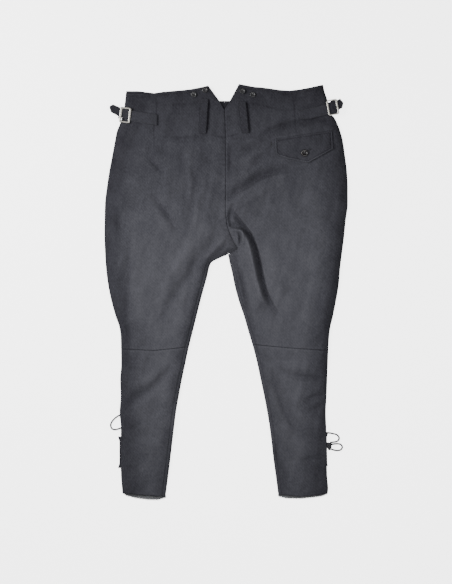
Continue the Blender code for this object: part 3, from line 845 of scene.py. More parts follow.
def add_node(
    tree: NodeTree, kind: str, settings: Optional[dict] = None, gives: int | str = 0, **links: object
) -> NodeSocket:
    """Adds a node with its settings and links.

    Args:
        tree: The tree to add it to.
        kind: The node's type.
        settings: Attributes of the node.
        gives: The output that is wanted.
        **links: Its inputs, as fill takes them.

    Returns:
        The node's output.
    """
    node = tree.nodes.new(kind)
    for key, value in (settings or {}).items():
        setattr(node, key, value)
    fill(node, **links)
    return node.outputs[gives]


def with_tones(colour: NodeSocket, stops: Sequence[tuple[float, str]]) -> NodeSocket:
    """Gives a colour ramp its stops.

    Args:
        colour: The ramp's output.
        stops: Positions and hex colours.

    Returns:
        The same output.
    """
    ramp = colour.node.color_ramp
    while len(ramp.elements) < len(stops):
        ramp.elements.new(0.5)
    for element, (position, code) in zip(ramp.elements, stops):
        element.position = position
        element.color = srgb(code)
    return colour


def new_material(name: str) -> tuple[Material, NodeTree, Node]:
    """Starts a node material.

    Args:
        name: Its name.

    Returns:
        The material, its tree and its shader.
    """
    material = bpy.data.materials.new(name)
    material.use_nodes = True
    return material, material.node_tree, material.node_tree.nodes["Principled BSDF"]


@dataclass(frozen=True)
class MilledWool:
    """Heavy woollen cloth, milled until its twill is hidden under a short fine nap.

    The eye sees a matt charcoal black with a grain of lighter fibres and faint cloudy patches.
    The grain is drawn a little coarser than a picture's pixel, far coarser than the real 0.6 mm,
    which is too fine to show. The twill's ribs are drawn at their real 3.2 mm.
    """

    name: str
    # fresh is the darkest tone and worn the palest; the mesh's wear, with its painted light and shade,
    # chooses between them
    fresh: str = "201f25"
    worn: str = "58585e"
    grain_mm: float = 3.6
    cloud_mm: float = 30.0
    twill_mm: float = 3.2
    relief_mm: float = 0.35
    rub: float = 0.12  # added to the mesh's own wear and painted shade
    middle: float = 0.42  # level at which the tone is halfway from fresh to worn
    shares: tuple[float, float, float] = (0.56, 0.08, 0.06)  # grain, clouds and twill

    def build(self) -> Material:
        """Builds the material.

        Returns:
            The material.
        """
        material, tree, shader = new_material(self.name)
        spot = add_node(tree, "ShaderNodeTexCoord", gives="Object")
        streak = add_node(tree, "ShaderNodeMapping", n0=spot, Scale=(1.0, 0.62, 1.0))
        grain = add_node(tree, "ShaderNodeTexNoise", Vector=streak, Scale=1 / (self.grain_mm * MM),
                         Detail=3.0, Roughness=0.62)
        clouds = add_node(tree, "ShaderNodeTexNoise", Vector=spot, Scale=1 / (self.cloud_mm * MM),
                          Detail=3.0, Roughness=0.5)
        twill = add_node(tree, "ShaderNodeTexWave", DIAGONAL, "Fac", Vector=spot, Distortion=1.6,
                         Scale=WAVE_SCALE / (self.twill_mm * MM), Detail=2.0, Detail_Scale=2.0)
        # the mesh's wear together with the painted light and shade that it carries
        worn = add_node(tree, "ShaderNodeAttribute", {"attribute_name": WEAR_AND_SHADE}, "Fac")
        # half of each pattern is taken off again, so that they leave the mean tone alone
        level = self.rub - sum(self.shares) / 2
        for pattern, share in ((worn, 0.62), *zip((grain, clouds, twill), self.shares)):
            level = add_node(tree, "ShaderNodeMath", {"operation": "MULTIPLY_ADD"},
                             n0=pattern, n1=share, n2=level)
        between = tone_between(self.fresh, self.worn, 0.5)
        tone = with_tones(add_node(tree, "ShaderNodeValToRGB", Fac=level),
                          ((0.0, self.fresh), (self.middle, between), (0.95, self.worn)))
        relief = add_node(tree, "ShaderNodeMath", {"operation": "MULTIPLY_ADD"},
                          n0=twill, n1=0.25, n2=grain)
        bump = add_node(tree, "ShaderNodeBump", Strength=0.5, Distance=self.relief_mm * MM,
                        Height=relief)
        fill(shader, Base_Color=tone, Normal=bump, Roughness=0.94, Specular_IOR_Level=0.2,
             Sheen_Weight=0.04, Sheen_Roughness=0.5, Sheen_Tint=srgb("8f8f96"))
        return material


@dataclass(frozen=True)
class TwistedThread:
    """Sewing thread or cord: twisted cotton or polyester, with a low lustre along its plies."""

    name: str
    dark: str
    light: str
    ply_mm: float
    roughness: float = 0.6

    def build(self) -> Material:
        """Builds the material.

        Returns:
            The material.
        """
        material, tree, shader = new_material(self.name)
        spot = add_node(tree, "ShaderNodeTexCoord", gives="Object")
        ply = add_node(tree, "ShaderNodeTexWave", DIAGONAL, "Fac", Vector=spot, Distortion=2.5,
                       Scale=WAVE_SCALE / (self.ply_mm * MM), Detail=2.0)
        bump = add_node(tree, "ShaderNodeBump", Strength=0.7, Distance=0.4 * MM, Height=ply)
        tone = with_tones(add_node(tree, "ShaderNodeValToRGB", Fac=ply),
                          ((0.2, self.dark), (0.8, self.light)))
        fill(shader, Base_Color=tone, Normal=bump, Roughness=self.roughness)
        return material


@dataclass(frozen=True)
class PolishedNickel:
    """Stamped steel, nickel plated and tumbled: bright, a little warm, with faint soft wear."""

    name: str = "polished_nickel"
    tone: str = "d9d6cf"
    dulled: str = "c4c1ba"
    wear_mm: float = 5.0

    def build(self) -> Material:
        """Builds the material.

        Returns:
            The material.
        """
        material, tree, shader = new_material(self.name)
        spot = add_node(tree, "ShaderNodeTexCoord", gives="Object")
        worn = add_node(tree, "ShaderNodeTexNoise", Vector=spot, Scale=1 / (self.wear_mm * MM),
                        Detail=5.0)
        rough = add_node(tree, "ShaderNodeMapRange", Value=worn, To_Min=0.34, To_Max=0.46)
        tone = with_tones(add_node(tree, "ShaderNodeValToRGB", Fac=worn),
                          ((0.35, self.dulled), (0.65, self.tone)))
        fill(shader, Base_Color=tone, Roughness=rough, Metallic=1.0)
        return material


@dataclass(frozen=True)
class PolishedHorn:
    """Dark horn, turned and buffed: smoky grey with faint streaks and a small clear highlight."""

    name: str = "black_horn"
    deep: str = "131215"
    streaked: str = "2b2523"
    roughness: float = 0.2
    streak_mm: float = 3.5

    def build(self) -> Material:
        """Builds the material.

        Returns:
            The material.
        """
        material, tree, shader = new_material(self.name)
        spot = add_node(tree, "ShaderNodeTexCoord", gives="Object")
        drawn = add_node(tree, "ShaderNodeMapping", n0=spot, Scale=(1.0, 0.3, 1.0))
        streak = add_node(tree, "ShaderNodeTexNoise", Vector=drawn, Scale=1 / (self.streak_mm * MM),
                          Detail=4.0)
        tone = with_tones(add_node(tree, "ShaderNodeValToRGB", Fac=streak),
                          ((0.4, self.deep), (0.75, self.streaked)))
        fill(shader, Base_Color=tone, Roughness=self.roughness, Coat_Weight=0.25, Coat_Roughness=0.1)
        return material


@dataclass(frozen=True)
class StudioPaper:
    """Seamless white background paper, quite matt and glowing a little, so it reads nearly white.

    It stays a shade under white, because thin dark laces would fade away on a brighter one.
    """

    name: str = "white_paper"
    tone: str = "fbfbfb"
    glow: float = 3.6
    tooth_mm: float = 2.5

    def build(self) -> Material:
        """Builds the material.

        Returns:
            The material.
        """
        material, tree, shader = new_material(self.name)
        spot = add_node(tree, "ShaderNodeTexCoord", gives="Object")
        tooth = add_node(tree, "ShaderNodeTexNoise", Vector=spot, Scale=1 / (self.tooth_mm * MM))
        bump = add_node(tree, "ShaderNodeBump", Strength=0.05, Distance=0.1 * MM, Height=tooth)
        fill(shader, Base_Color=srgb(self.tone), Emission_Color=srgb("ffffff"), Normal=bump,
             Emission_Strength=self.glow, Roughness=0.95, Specular_IOR_Level=0.1)
        return material


def tone_between(first: str, second: str, share: float) -> str:
    """A hex colour between two others."""
    pairs = ((int(first[i : i + 2], 16), int(second[i : i + 2], 16)) for i in (0, 2, 4))
    return "".join(f"{round(mix(a, b, share)):02x}" for a, b in pairs)


# seams, darts and pressed edges that read as narrow grooves in the cloth
SEAM_LINES = {
    Leg.LEFT: [Crease(*row) for row in (
        (((-173.5, 22), (-173.5, 71), (-179, 108), (-179.5, 168)), -1.0, 1.7),
        (((-44, 121), (-24, 126), (-4, 130)), -0.9, 2.2),
        (((-176, 126), (-120, 130), (-75, 128), (-44, 122)), -0.6, 3.6),
        (((-174, 50), (-140, 48), (-90, 46), (-66, 39)), -0.5, 2.6),
    )],
    Leg.RIGHT: [Crease(*row) for row in (
        (((167, 18), (171, 62), (173.5, 100), (175, 128)), -1.0, 1.7),
        (((-2, 129), (16, 125), (36, 118)), -0.8, 2.2),
        (((46, 41), (80, 47), (115, 56), (145, 63), (172, 62)), -0.6, 2.6),
    )],
}


class Band(NamedTuple):
    """A section across a strap: its upper and its lower edge."""

    x_top: float
    d_top: float
    x_low: float
    d_low: float

    def at(self, share: float) -> tuple[float, float]:
        """X and drop at a share of the way from the lower edge to the upper."""
        return mix(self.x_low, self.x_top, share), mix(self.d_low, self.d_top, share)


# where the columns of a back upper's grid stand closer, in shares of its width
DENSER_COLUMNS = {
    Leg.LEFT: (Ridge(0.6, 0.31, 0.03), Ridge(0.6, 1.0, 0.1)),
    Leg.RIGHT: (Ridge(0.6, 0.70, 0.03), Ridge(0.9, 0.0, 0.22)),
}
# the middle of each belt loop's upper and lower end
LOOPS = {Leg.LEFT: Band(-53.0, 34.0, -59.0, 121.0), Leg.RIGHT: Band(40.0, 40.0, 48.0, 119.0)}
LOOP_WIDTH = 18.0


@dataclass
class BackPanel:
    """One piece of the back: from the waist to the knee seam, or from there to the hem."""

    leg: Leg
    upper: bool
    finish: Material
    step: float = 2.7
    edge_insets: tuple[float, ...] = (0.0, 0.7, 1.6, 3.0, 5.2, 6.6, 7.6, 8.5, 9.4, 10.6, 13.0)
    side_insets: tuple[float, ...] = (0.0, 0.8, 2.0, 4.0, 7.0)
    row_insets: tuple[float, ...] = (0.0, 0.6, 1.4, 2.8, 4.6, 6.0, 7.0, 8.0, 9.6)
    fishtail_rows: float = 60.0  # rows over which the columns leave the fishtail's corners
    fishtail_reach: float = 8.0
    seat_seam: Ridge = Ridge(-0.9, 0.0, 1.2)
    seat_edge: Ridge = Ridge(0.5, 3.0, 1.4)  # the right side laps over the left
    inseam: tuple[Ridge, ...] = (Ridge(-1.1, INSEAM_INSET, 1.2), Ridge(0.5, 4.5, 2.6))
    waist: tuple[Ridge, ...] = (Ridge(-1.2, 0.0, 1.0), Ridge(-0.35, 7.0, 1.3), Ridge(0.35, 3.2, 2.0))
    above_knee: tuple[Ridge, ...] = (Ridge(-0.7, 0.0, 0.8), Ridge(0.2, 4.0, 2.5))
    below_knee: tuple[Ridge, ...] = (Ridge(-0.7, 0.0, 0.8), Ridge(0.3, 4.0, 2.5))
    hem: Ridge = Ridge(-0.6, 0.0, 1.1)
    pucker: Ridge = Ridge(0.26, 0.0, 8.0)
    # painted shadow beside a belt loop's right edge
    loop_shade: Ridge = Ridge(0.5, 1.5, 3.4)

    @property
    def marks(self) -> tuple[Ridge, ...]:
        """Where the columns stand closer: at the dart, and beside the crotch."""
        return DENSER_COLUMNS[self.leg] if self.upper else ()

    @property
    def row_mark(self) -> tuple[Ridge, ...]:
        """Where the rows stand closer, in shares: beside the crotch."""
        return (Ridge(0.9 if self.leg is Leg.RIGHT else 0.4, 0.58, 0.1),) if self.upper else ()

    @property
    def name(self) -> str:
        """The node that the panel stands for."""
        return f"back_{self.leg.value}_{'upper' if self.upper else 'lower'}"

    @property
    def top(self) -> Sequence[Edge]:
        """The panel's upper edge."""
        return BACK_WAIST if self.upper else [Edge(x, drop + SEAM_GAP / 2) for x, drop in KNEE]

    @property
    def low(self) -> Sequence[Edge]:
        """The panel's lower edge."""
        return [Edge(x, drop - SEAM_GAP / 2) for x, drop in KNEE] if self.upper else BACK_HEM

    def _grid(self) -> tuple[Array, Array]:
        """Lays out the panel's points, closer together at its edges and its marks.

        Returns:
            X and drop of every point of the outer face.
        """
        width, height = (300.0, 655.0) if self.upper else (170.0, 366.0)
        near = np.array(self.row_insets) / height
        rows = mix(near[-1], 1 - near[-1], self._spread(height, self.row_mark)[1:-1])
        shares = np.concatenate((near, rows, 1 - near[::-1]))
        t = self._spread(width, self.marks)
        ends = [DRAPE.side_of(self.leg, end, self.top, self.low, shares) for end in (0, 1)]
        side, inner = np.array(self.side_insets), np.array(self.edge_insets)
        first, last = (side, inner) if self.leg is Leg.LEFT else (inner, side)
        start, stop = ends[0][:, None] + first, ends[1][:, None] - last[::-1]
        x = np.hstack((start, mix(start[:, -1:], stop[:, :1], t[1:-1]), stop))
        if self.upper:
            x = self._meet_fishtail(x)
        return x, mix(along(self.top, x[0]), along(self.low, x[-1]), shares[:, None])

    def _spread(self, length: float, marks: Sequence[Ridge]) -> Array:
        """Stations along a length, closer together around its marks.

        Args:
            length: The length, in millimetres.
            marks: Where the stations stand closer.

        Returns:
            Shares of the length, from 0 to 1.
        """
        t = np.linspace(0, 1, 801)
        weight = np.ones_like(t) + pressed(t, *marks)
        grown = np.concatenate(([0.0], np.cumsum((weight[1:] + weight[:-1]) / 2)))
        count = round(length / self.step * float(weight.mean()))
        return np.interp(np.linspace(0, grown[-1], count), grown, t)

    def _meet_fishtail(self, x: Array) -> Array:
        """Moves columns sideways near the waist, so that one meets each fishtail corner.

        Args:
            x: Grid of X.

        Returns:
            The grid with its columns moved.
        """
        fade = smooth(1 - np.arange(len(x)) / self.fishtail_rows)[:, None]
        for corner in FISHTAIL[self.leg]:
            nearest = int(np.argmin(np.abs(x[0] - corner)))
            moved = Ridge(corner - x[0, nearest], 0.0, self.fishtail_reach)
            x = x + pressed(x - x[:, nearest : nearest + 1], moved) * fade
        return x

    def _relief(self, x: Array, drop: Array) -> Array:
        """Seams, turned edges and the puckers beside them.

        Args:
            x: Grid of X.
            drop: Grid of drops.

        Returns:
            Heights to add, in millimetres.
        """
        inner = DRAPE.from_inner_edge(self.leg, x, drop)
        top, low = drop - along(self.top, x), along(self.low, x) - drop
        above, below = smooth((CROTCH_DROP - drop) / SEAM_FADE), smooth((drop - CROTCH_DROP - 12) / 20)
        relief = pressed(inner, self.seat_seam) + below * pressed(inner, *self.inseam)
        if self.leg is Leg.RIGHT:
            relief += above * pressed(inner, self.seat_edge)
        relief += above * pressed(inner, self.pucker) * np.sin(drop / 2.3 + 2.0 * np.sin(drop / 31))
        if self.upper:
            relief += pressed(top, *self.waist) + pressed(low, *self.above_knee)
        else:
            relief += pressed(top, *self.below_knee) + pressed(low, self.hem)
        relief += sum(DRAPE.crease(seam, x, drop) for seam in SEAM_LINES[self.leg])
        return relief * np.clip(DRAPE.swell(self.leg, x, drop) * 1.6, 0, 1)

    def _loop_shadow(self, x: Array, drop: Array) -> Array:
        """The painted shadow beside the right edge of a belt loop.

        Args:
            x: Grid of X.
            drop: Grid of drops.

        Returns:
            What the painted shadow takes off the tone.
        """
        loop = LOOPS[self.leg]
        share = (drop - loop.d_top) / (loop.d_low - loop.d_top)
        beside = x - mix(loop.x_top, loop.x_low, share) - LOOP_WIDTH / 2
        ends = smooth((share + 0.02) / 0.1) * smooth((1.02 - share) / 0.08)
        return ends * pressed(beside, self.loop_shade)

    def build(self) -> Object:
        """Builds the panel and dresses it.

        Returns:
            The panel.
        """
        x, drop = self._grid()
        relief = self._relief(x, drop)
        mesh = shell_mesh(self.name, x, drop, DRAPE.surface(self.leg, x, drop) + relief, BACK_WALL)
        # painted shadow beside each belt loop's right edge
        loop_shadow_tone = self._loop_shadow(x, drop) if self.upper else 0.0
        # painted shade in the grooves of seams and darts and painted highlight on their pressed edges
        paint_wear_and_shade(mesh, DRAPE.wear_and_shade(self.leg, x, drop) + 0.30 * np.minimum(relief, 0.3) - loop_shadow_tone)
        panel = standing_for(self.name, "cloth", mesh, self.finish)
        return panel


@dataclass
class FrontPanel:
    """One front, a flat piece from waist to hem, whose outer face lies on the floor."""

    leg: Leg
    finish: Material
    rows: int = 230
    hem_rise: float = 4.3  # the front's hem ends this far above the back's
    fly: Ridge = Ridge(1.0, 0.0, 1.4)
    seam: Ridge = Ridge(1.0, 0.0, 1.6)
    depth: float = 0.6
    rounding: float = 0.5

    def _seams(self, x: Array, drop: Array) -> Array:
        """The fly, waist, pocket and knee seams.

        Args:
            x: Grid of X.
            drop: Grid of drops.

        Returns:
            How far the face below is pressed in, in millimetres.
        """
        aside = np.abs(x)
        fly = aside - (34 if self.leg is Leg.RIGHT else 3)
        relief = pressed(fly, self.fly) * smooth((300 - drop) / 20)
        relief += pressed(drop - 78 - 0.16 * aside, self.fly) + pressed(drop - along(KNEE, x), self.fly)
        pocket = aside - 200 + 0.42 * (drop - 80)
        relief += pressed(pocket, self.seam) * smooth((drop - 80) / 8) * smooth((240 - drop) / 8)
        return self.depth * np.clip(relief, 0, 1)

    def build(self) -> Object:
        """Builds the panel, with its seams pressed into the face below.

        Returns:
            The panel.
        """
        node = f"front_{self.leg.value}"
        shares = np.linspace(0, 1, self.rows)
        hem = [Edge(point.x, point.drop - self.hem_rise) for point in BACK_HEM]
        ends = [DRAPE.side_of(self.leg, end, FRONT_WAIST, hem, shares) for end in (0, 1)]
        across = np.concatenate(([0, 0.004, 0.01], np.linspace(0.02, 0.98, 50), [0.99, 0.996, 1]))
        x = mix(ends[0][:, None], ends[1][:, None], across)
        top = along(FRONT_WAIST, x[0])
        drop = mix(top, along(hem, x[-1]), shares[:, None])
        rim = self.rounding * (1 - smooth(np.minimum(x - x[:, :1], x[:, -1:] - x) / 1.4))
        level = FRONT_WALL - rim - 0.25 * (1 - smooth((drop - top) / 2))
        mesh = closed_mesh(node, x, drop, level, self._seams(x, drop) + rim)
        panel = standing_for(node, "cloth", mesh, self.finish)
        return panel


@dataclass
class SeatSeamAllowance:
    """The back's seam allowance, pressed open inside the garment along its centre seam."""

    finish: Material
    reach: float = 10.0
    first: float = 42.0
    last: float = 416.0

    def build(self) -> Object:
        """Builds the strip, which lies between the fronts and the backs.

        Returns:
            The strip.
        """
        drop = np.repeat(spaced(self.first, self.last, 3.0)[:, None], 11, axis=1)
        middle = (DRAPE.ends(Leg.LEFT, drop)[1] + DRAPE.ends(Leg.RIGHT, drop)[0]) / 2
        x = middle + np.linspace(-self.reach, self.reach, 11)
        room = np.minimum(*(DRAPE.surface(leg, middle, drop) for leg in Leg)) - BACK_WALL - 1.5
        top = np.clip(room, FRONT_WALL + 0.2, FRONT_WALL + 1.3)
        mesh = closed_mesh("seat_seam_allowance", x, drop, top, 0 * top + FRONT_WALL + 0.05)
        strip = finished("seat_seam_allowance", mesh, self.finish)
        return strip


@dataclass
class HemBand:
    """The raw lower edge that shows below the back's hem, overcast with grey thread."""

    leg: Leg
    finish: Material
    wall: float = 1.8
    tuck: float = 4.0
    shares: tuple[float, ...] = (0, 0.1, 0.25, 0.5, 0.75, 0.88, 0.95, 1.0)
    rim: tuple[float, ...] = (0, 0.05, 0.05, 0, 0.05, 0.2, 0.45, 0.75)

    def build(self) -> Object:
        """Builds the band: its edge wavers a little, as a frayed edge does.

        Returns:
            The band.
        """
        node = f"hem_band_{self.leg.value}"
        first, last = DRAPE.ends(self.leg, HEM_DROP)
        across = np.linspace(first, last, 90)
        shares, rim = np.array(self.shares)[:, None], np.array(self.rim)[:, None]
        x = np.repeat(across[None, :], len(shares), axis=0)
        frayed = 0.45 * np.sin(across * 0.9) + 0.35 * np.sin(across * 2.3 + 1.0) - 0.5
        drop = mix(along(BACK_HEM, x) - self.tuck, along(BAND_HEM, x) + frayed, shares)
        top = self.wall - rim + np.minimum(0.12 * np.sin(x * 1.9), 0) * shares
        mesh = closed_mesh(node, x, drop, top, 0 * x + 0.6 * rim)
        band = standing_for(node, "cloth", mesh, self.finish)
        return band


@dataclass
class Placket:
    """The underlap strip behind a calf slit, lying on the floor past the leg's edge."""

    leg: Leg
    finish: Material
    first: float
    last: float
    reach: float
    wall: float = 1.2
    corner: float = 3.2
    shares: tuple[float, ...] = (0, 0.2, 0.5, 0.8, 0.92, 1.0)
    rim: tuple[float, ...] = (0, 0, 0, 0.04, 0.18, 0.45)

    def build(self) -> Object:
        """Builds the strip, whose outer corners stand out a little past its edge.

        Returns:
            The strip.
        """
        node = f"placket_{self.leg.value}"
        down = np.linspace(self.first, self.last, 60)
        edge = DRAPE.outer_edge(self.leg, down) + SEAM_GAP
        corner = smooth(1 - np.minimum(down - self.first, self.last - down) / 14)
        outer = np.maximum(edge + 1.2, self.reach - self.corner * (1 - corner))
        x = mix(edge[:, None], outer[:, None], np.array(self.shares)) * self.leg.sign
        top = self.wall - np.array(self.rim) + 0 * x
        drop = down[:, None] + 0 * x
        if self.leg is Leg.LEFT:
            x, top = x[:, ::-1], top[:, ::-1]
        mesh = closed_mesh(node, x, drop, top, 0 * top)
        paint_wear_and_shade(mesh, 0.5)
        strip = standing_for(node, "cloth", mesh, self.finish)
        return strip


def band_grid(
    rows: Sequence[Band], tops: Sequence[float], wall: float, count: int = 17
) -> tuple[Array, ...]:
    """Points of a cloth strip's two faces, with soft long edges.

    Args:
        rows: Sections along the strip.
        tops: Height of the outer face at each section.
        wall: Thickness of the strip.
        count: Points across.

    Returns:
        Grids of X, drop, upper height and lower height, with sections as rows.
    """
    u = eased(count)
    ends = np.array(rows, float)
    x = mix(ends[:, 2:3], ends[:, 0:1], u)
    drop = mix(ends[:, 3:4], ends[:, 1:2], u)
    width = np.hypot(ends[:, 0] - ends[:, 2], ends[:, 1] - ends[:, 3])[:, None]
    inset = np.minimum(u, 1 - u)[None, :] * width
    rounding = (1 - np.clip(inset / 1.3, 0, 1)) ** 2
    level = np.array(tops, float)[:, None]
    high = level - 0.55 * wall * rounding + pressed(inset, Ridge(-0.28, 2.4, 0.8))
    return x, drop, high, level - wall + 0.4 * wall * rounding


@dataclass
class BeltLoop:
    """A loop of doubled cloth, sewn down at both ends and standing proud between them."""

    leg: Leg
    finish: Material
    width: float = LOOP_WIDTH
    wall: float = 2.0
    proud: float = 3.0
    sewn_share: float = 0.16  # share of its length over which it rises from each end
    sections: int = 60

    def rows(self) -> tuple[list[Band], list[float]]:
        """Lays the loop over the back.

        Returns:
            Sections down the loop, and the height of each.
        """
        line = LOOPS[self.leg]
        sections, tops = [], []
        for v in np.linspace(0, 1, self.sections):
            x, drop = line.at(1 - v)
            rise = self.proud * float(smooth(v / self.sewn_share) * smooth((1 - v) / self.sewn_share))
            across = [DRAPE.height(x + self.width * (u - 0.5), drop) for u in (0, 0.5, 1)]
            slack = 0.25 * math.sin(9 * v + x)
            sections.append(Band(x + self.width / 2, drop, x - self.width / 2, drop))
            tops.append(max(across) + SEAM_GAP + self.wall + rise + slack * rise / self.proud)
        return sections, tops

    def build(self) -> Object:
        """Builds the loop.

        Returns:
            The loop.
        """
        node = f"belt_loop_{self.leg.value}"
        x, drop, high, low = band_grid(*self.rows(), self.wall)
        mesh = closed_mesh(node, x, drop, high, low)
        paint_wear_and_shade(mesh, 0.20)
        loop = standing_for(node, "cloth", mesh, self.finish)
        return loop


STRAP_WALL = 1.8
STRAPS = {
    Leg.LEFT: [Band(*row) for row in (
        (-171, 72.5, -171, 100), (-204, 68, -202, 96), (-237.5, 63, -233.5, 91),
        (-265.5, 55, -266, 78.5), (-281.5, 47.5, -287, 67), (-289.8, 51.5, -290.4, 56.5),
    )],
    Leg.RIGHT: [Band(*row) for row in (
        (177.5, 63.5, 184, 84.5), (210, 56.5, 210, 83.5), (238, 49.5, 233, 77.5),
        (255, 46, 256, 72.5), (261.5, 38.5, 265, 74), (271.5, 36, 276, 70.5),
        (277, 37, 281, 61), (284, 33, 289.5, 56.5), (291.5, 42, 292, 46.5),
    )],
}
BUCKLE_WIDTH, BUCKLE_LENGTH = 28.0, 39.0


class BuckleSpot(NamedTuple):
    """Where a buckle lies, how it is turned, its bars and the tab that shows in its window."""

    x: float
    drop: float
    tilt: float
    side_bar: float
    end_bar: float
    tab_width: float
    tab_rise: float


BUCKLES = {
    Leg.LEFT: BuckleSpot(-251.5, 74.5, -7.0, 5.2, 4.2, 15.0, 8.0),
    Leg.RIGHT: BuckleSpot(265.5, 55.0, 10.0, 4.4, 3.0, 27.0, 12.0),
}


@dataclass
class AdjusterStrap:
    """The waist adjuster: a doubled strap that lies on the back and ends in a pointed tail."""

    leg: Leg
    finish: Material
    steps: int = 9  # sections from one given section to the next
    plateau: float = 236.0  # past this the strap keeps its height as the back falls away
    reach: float = 6.0
    clearance: float = 0.6

    def rows(self) -> tuple[list[Band], list[float]]:
        """Lays the strap over the back.

        Returns:
            Sections along the strap, and the height of each.
        """
        sections: list[Band] = []
        given, steps = STRAPS[self.leg], self.steps
        for a, b in zip(given, given[1:]):
            sections += [Band(*(mix(p, q, i / steps) for p, q in zip(a, b))) for i in range(steps)]
        sections.append(given[-1])
        tops = []
        for row in sections:
            x, drop = row.at(np.array([0, 0.5, 1]))
            x = np.clip(x, -self.plateau, self.plateau)
            near = [DRAPE.surface(self.leg, x + dx, drop).max() for dx in (-self.reach, 0, self.reach)]
            tops.append(float(max(near)) + self.clearance + STRAP_WALL)
        return sections, list(np.convolve(np.pad(tops, 2, mode="edge"), np.ones(5) / 5, mode="valid"))

    def levels(self) -> tuple[float, float]:
        """Where the buckle and its tab go.

        Returns:
            The strap's greatest height under the buckle, and its least past the buckle's middle.
        """
        middle = abs(BUCKLES[self.leg].x)
        places = [(abs(row.x_top + row.x_low) / 2, top) for row, top in zip(*self.rows())]
        under = max(top for x, top in places if abs(x - middle) < BUCKLE_WIDTH / 2 + 4)
        return under, min(top for x, top in places if x > middle)

    def build(self) -> Object:
        """Builds the strap.

        Returns:
            The strap.
        """
        node = f"strap_{self.leg.value}"
        x, drop, high, low = band_grid(*self.rows(), STRAP_WALL)
        mesh = closed_mesh(node, x, drop, high, low)
        # the strap's tone darkens towards its outer end, past the side seam
        paint_wear_and_shade(mesh, 0.34 - 0.32 * smooth((np.abs(x) - 225) / 50))
        strap = standing_for(node, "cloth", mesh, self.finish)
        return strap


@dataclass
class SlideBuckle:
    """A stamped slide buckle, lying flat on the strap just past the side seam."""

    leg: Leg
    finish: Material
    level: float
    thickness: float = 2.4
    corner: float = 5.0
    window_corner: float = 1.6
    squareness: float = 0.65  # 1 would give the bars a round section
    turns: int = 16

    @staticmethod
    def _ring(width: float, length: float, corner: float) -> list[tuple[float, float]]:
        """A rectangle with round corners, with eight points to a corner.

        Args:
            width: Its width.
            length: Its length.
            corner: Radius of its corners.

        Returns:
            X and Y of its points, anticlockwise.
        """
        points = []
        for quarter, (sx, sy) in enumerate(QUARTERS):
            cx, cy = sx * (width / 2 - corner), sy * (length / 2 - corner)
            for k in range(8):
                angle = math.pi / 2 * (quarter + k / 7)
                points.append((cx + corner * math.cos(angle), cy + corner * math.sin(angle)))
        return points

    def build(self) -> Object:
        """Builds the frame from rings round its window, which a section's round carries outwards.

        Returns:
            The buckle.
        """
        at = BUCKLES[self.leg]
        window = (BUCKLE_WIDTH - 2 * at.side_bar, BUCKLE_LENGTH - 2 * at.end_bar)
        build = bmesh.new()
        rings = []
        for turn in range(self.turns):
            angle = 2 * math.pi * turn / self.turns
            out, up = (0.5 + 0.5 * math.copysign(abs(part) ** self.squareness, part)
                       for part in (math.cos(angle), math.sin(angle)))
            ring = self._ring(mix(window[0], BUCKLE_WIDTH, out), mix(window[1], BUCKLE_LENGTH, out),
                              mix(self.window_corner, self.corner, out))
            rings.append([build.verts.new(Vector((*point, self.level + up * self.thickness)) * MM)
                          for point in ring])
        bridge(build, [*rings, rings[0]])
        turned = Matrix.Rotation(math.radians(at.tilt), 4, "Z")
        node = f"buckle_{self.leg.value}"
        mesh = settled(node, build, Matrix.Translation(place(at.x, at.drop, 0)) @ turned)
        return standing_for(node, "slide", mesh, self.finish)


@dataclass
class BuckleTab:
    """The short piece that rises from the side seam to hold the buckle."""

    leg: Leg
    finish: Material
    high: float
    thickness: float = 0.9

    def build(self) -> Object:
        """Builds the tab.

        Returns:
            The tab.
        """
        node = f"buckle_tab_{self.leg.value}"
        at = BUCKLES[self.leg]
        t = np.linspace(0, 1, 14)[None, :]
        down = np.linspace(-at.tab_width / 2, at.tab_width / 2, 15)[:, None]
        drop = at.drop + down + 0 * t
        side = DRAPE.outer_edge(self.leg, drop) + 3 * SEAM_GAP + at.tab_rise * t
        rim = 0.35 * (1 - smooth((at.tab_width / 2 - np.abs(down)) / 1.2))
        x, top = side * self.leg.sign, mix(EDGE_TOP, self.high, smooth(t)) - rim
        if self.leg is Leg.LEFT:
            x, drop, top = x[:, ::-1], drop[:, ::-1], top[:, ::-1]
        mesh = closed_mesh(node, x, drop, top, top - self.thickness)
        tab = standing_for(node, "cloth", mesh, self.finish)
        return tab


FLAP_TOP = (Edge(120.5, 134), Edge(264, 112))
FLAP_LOW = (Edge(123, 167), Edge(132, 177), Edge(155, 184), Edge(203.5, 194.5), Edge(267, 159))
FLAP_BUTTON = Edge(195, 169.5)
BRACE_BUTTONS = (Edge(-80.5, 22.5), Edge(-53, 11.5), Edge(41, 14), Edge(66.5, 23))


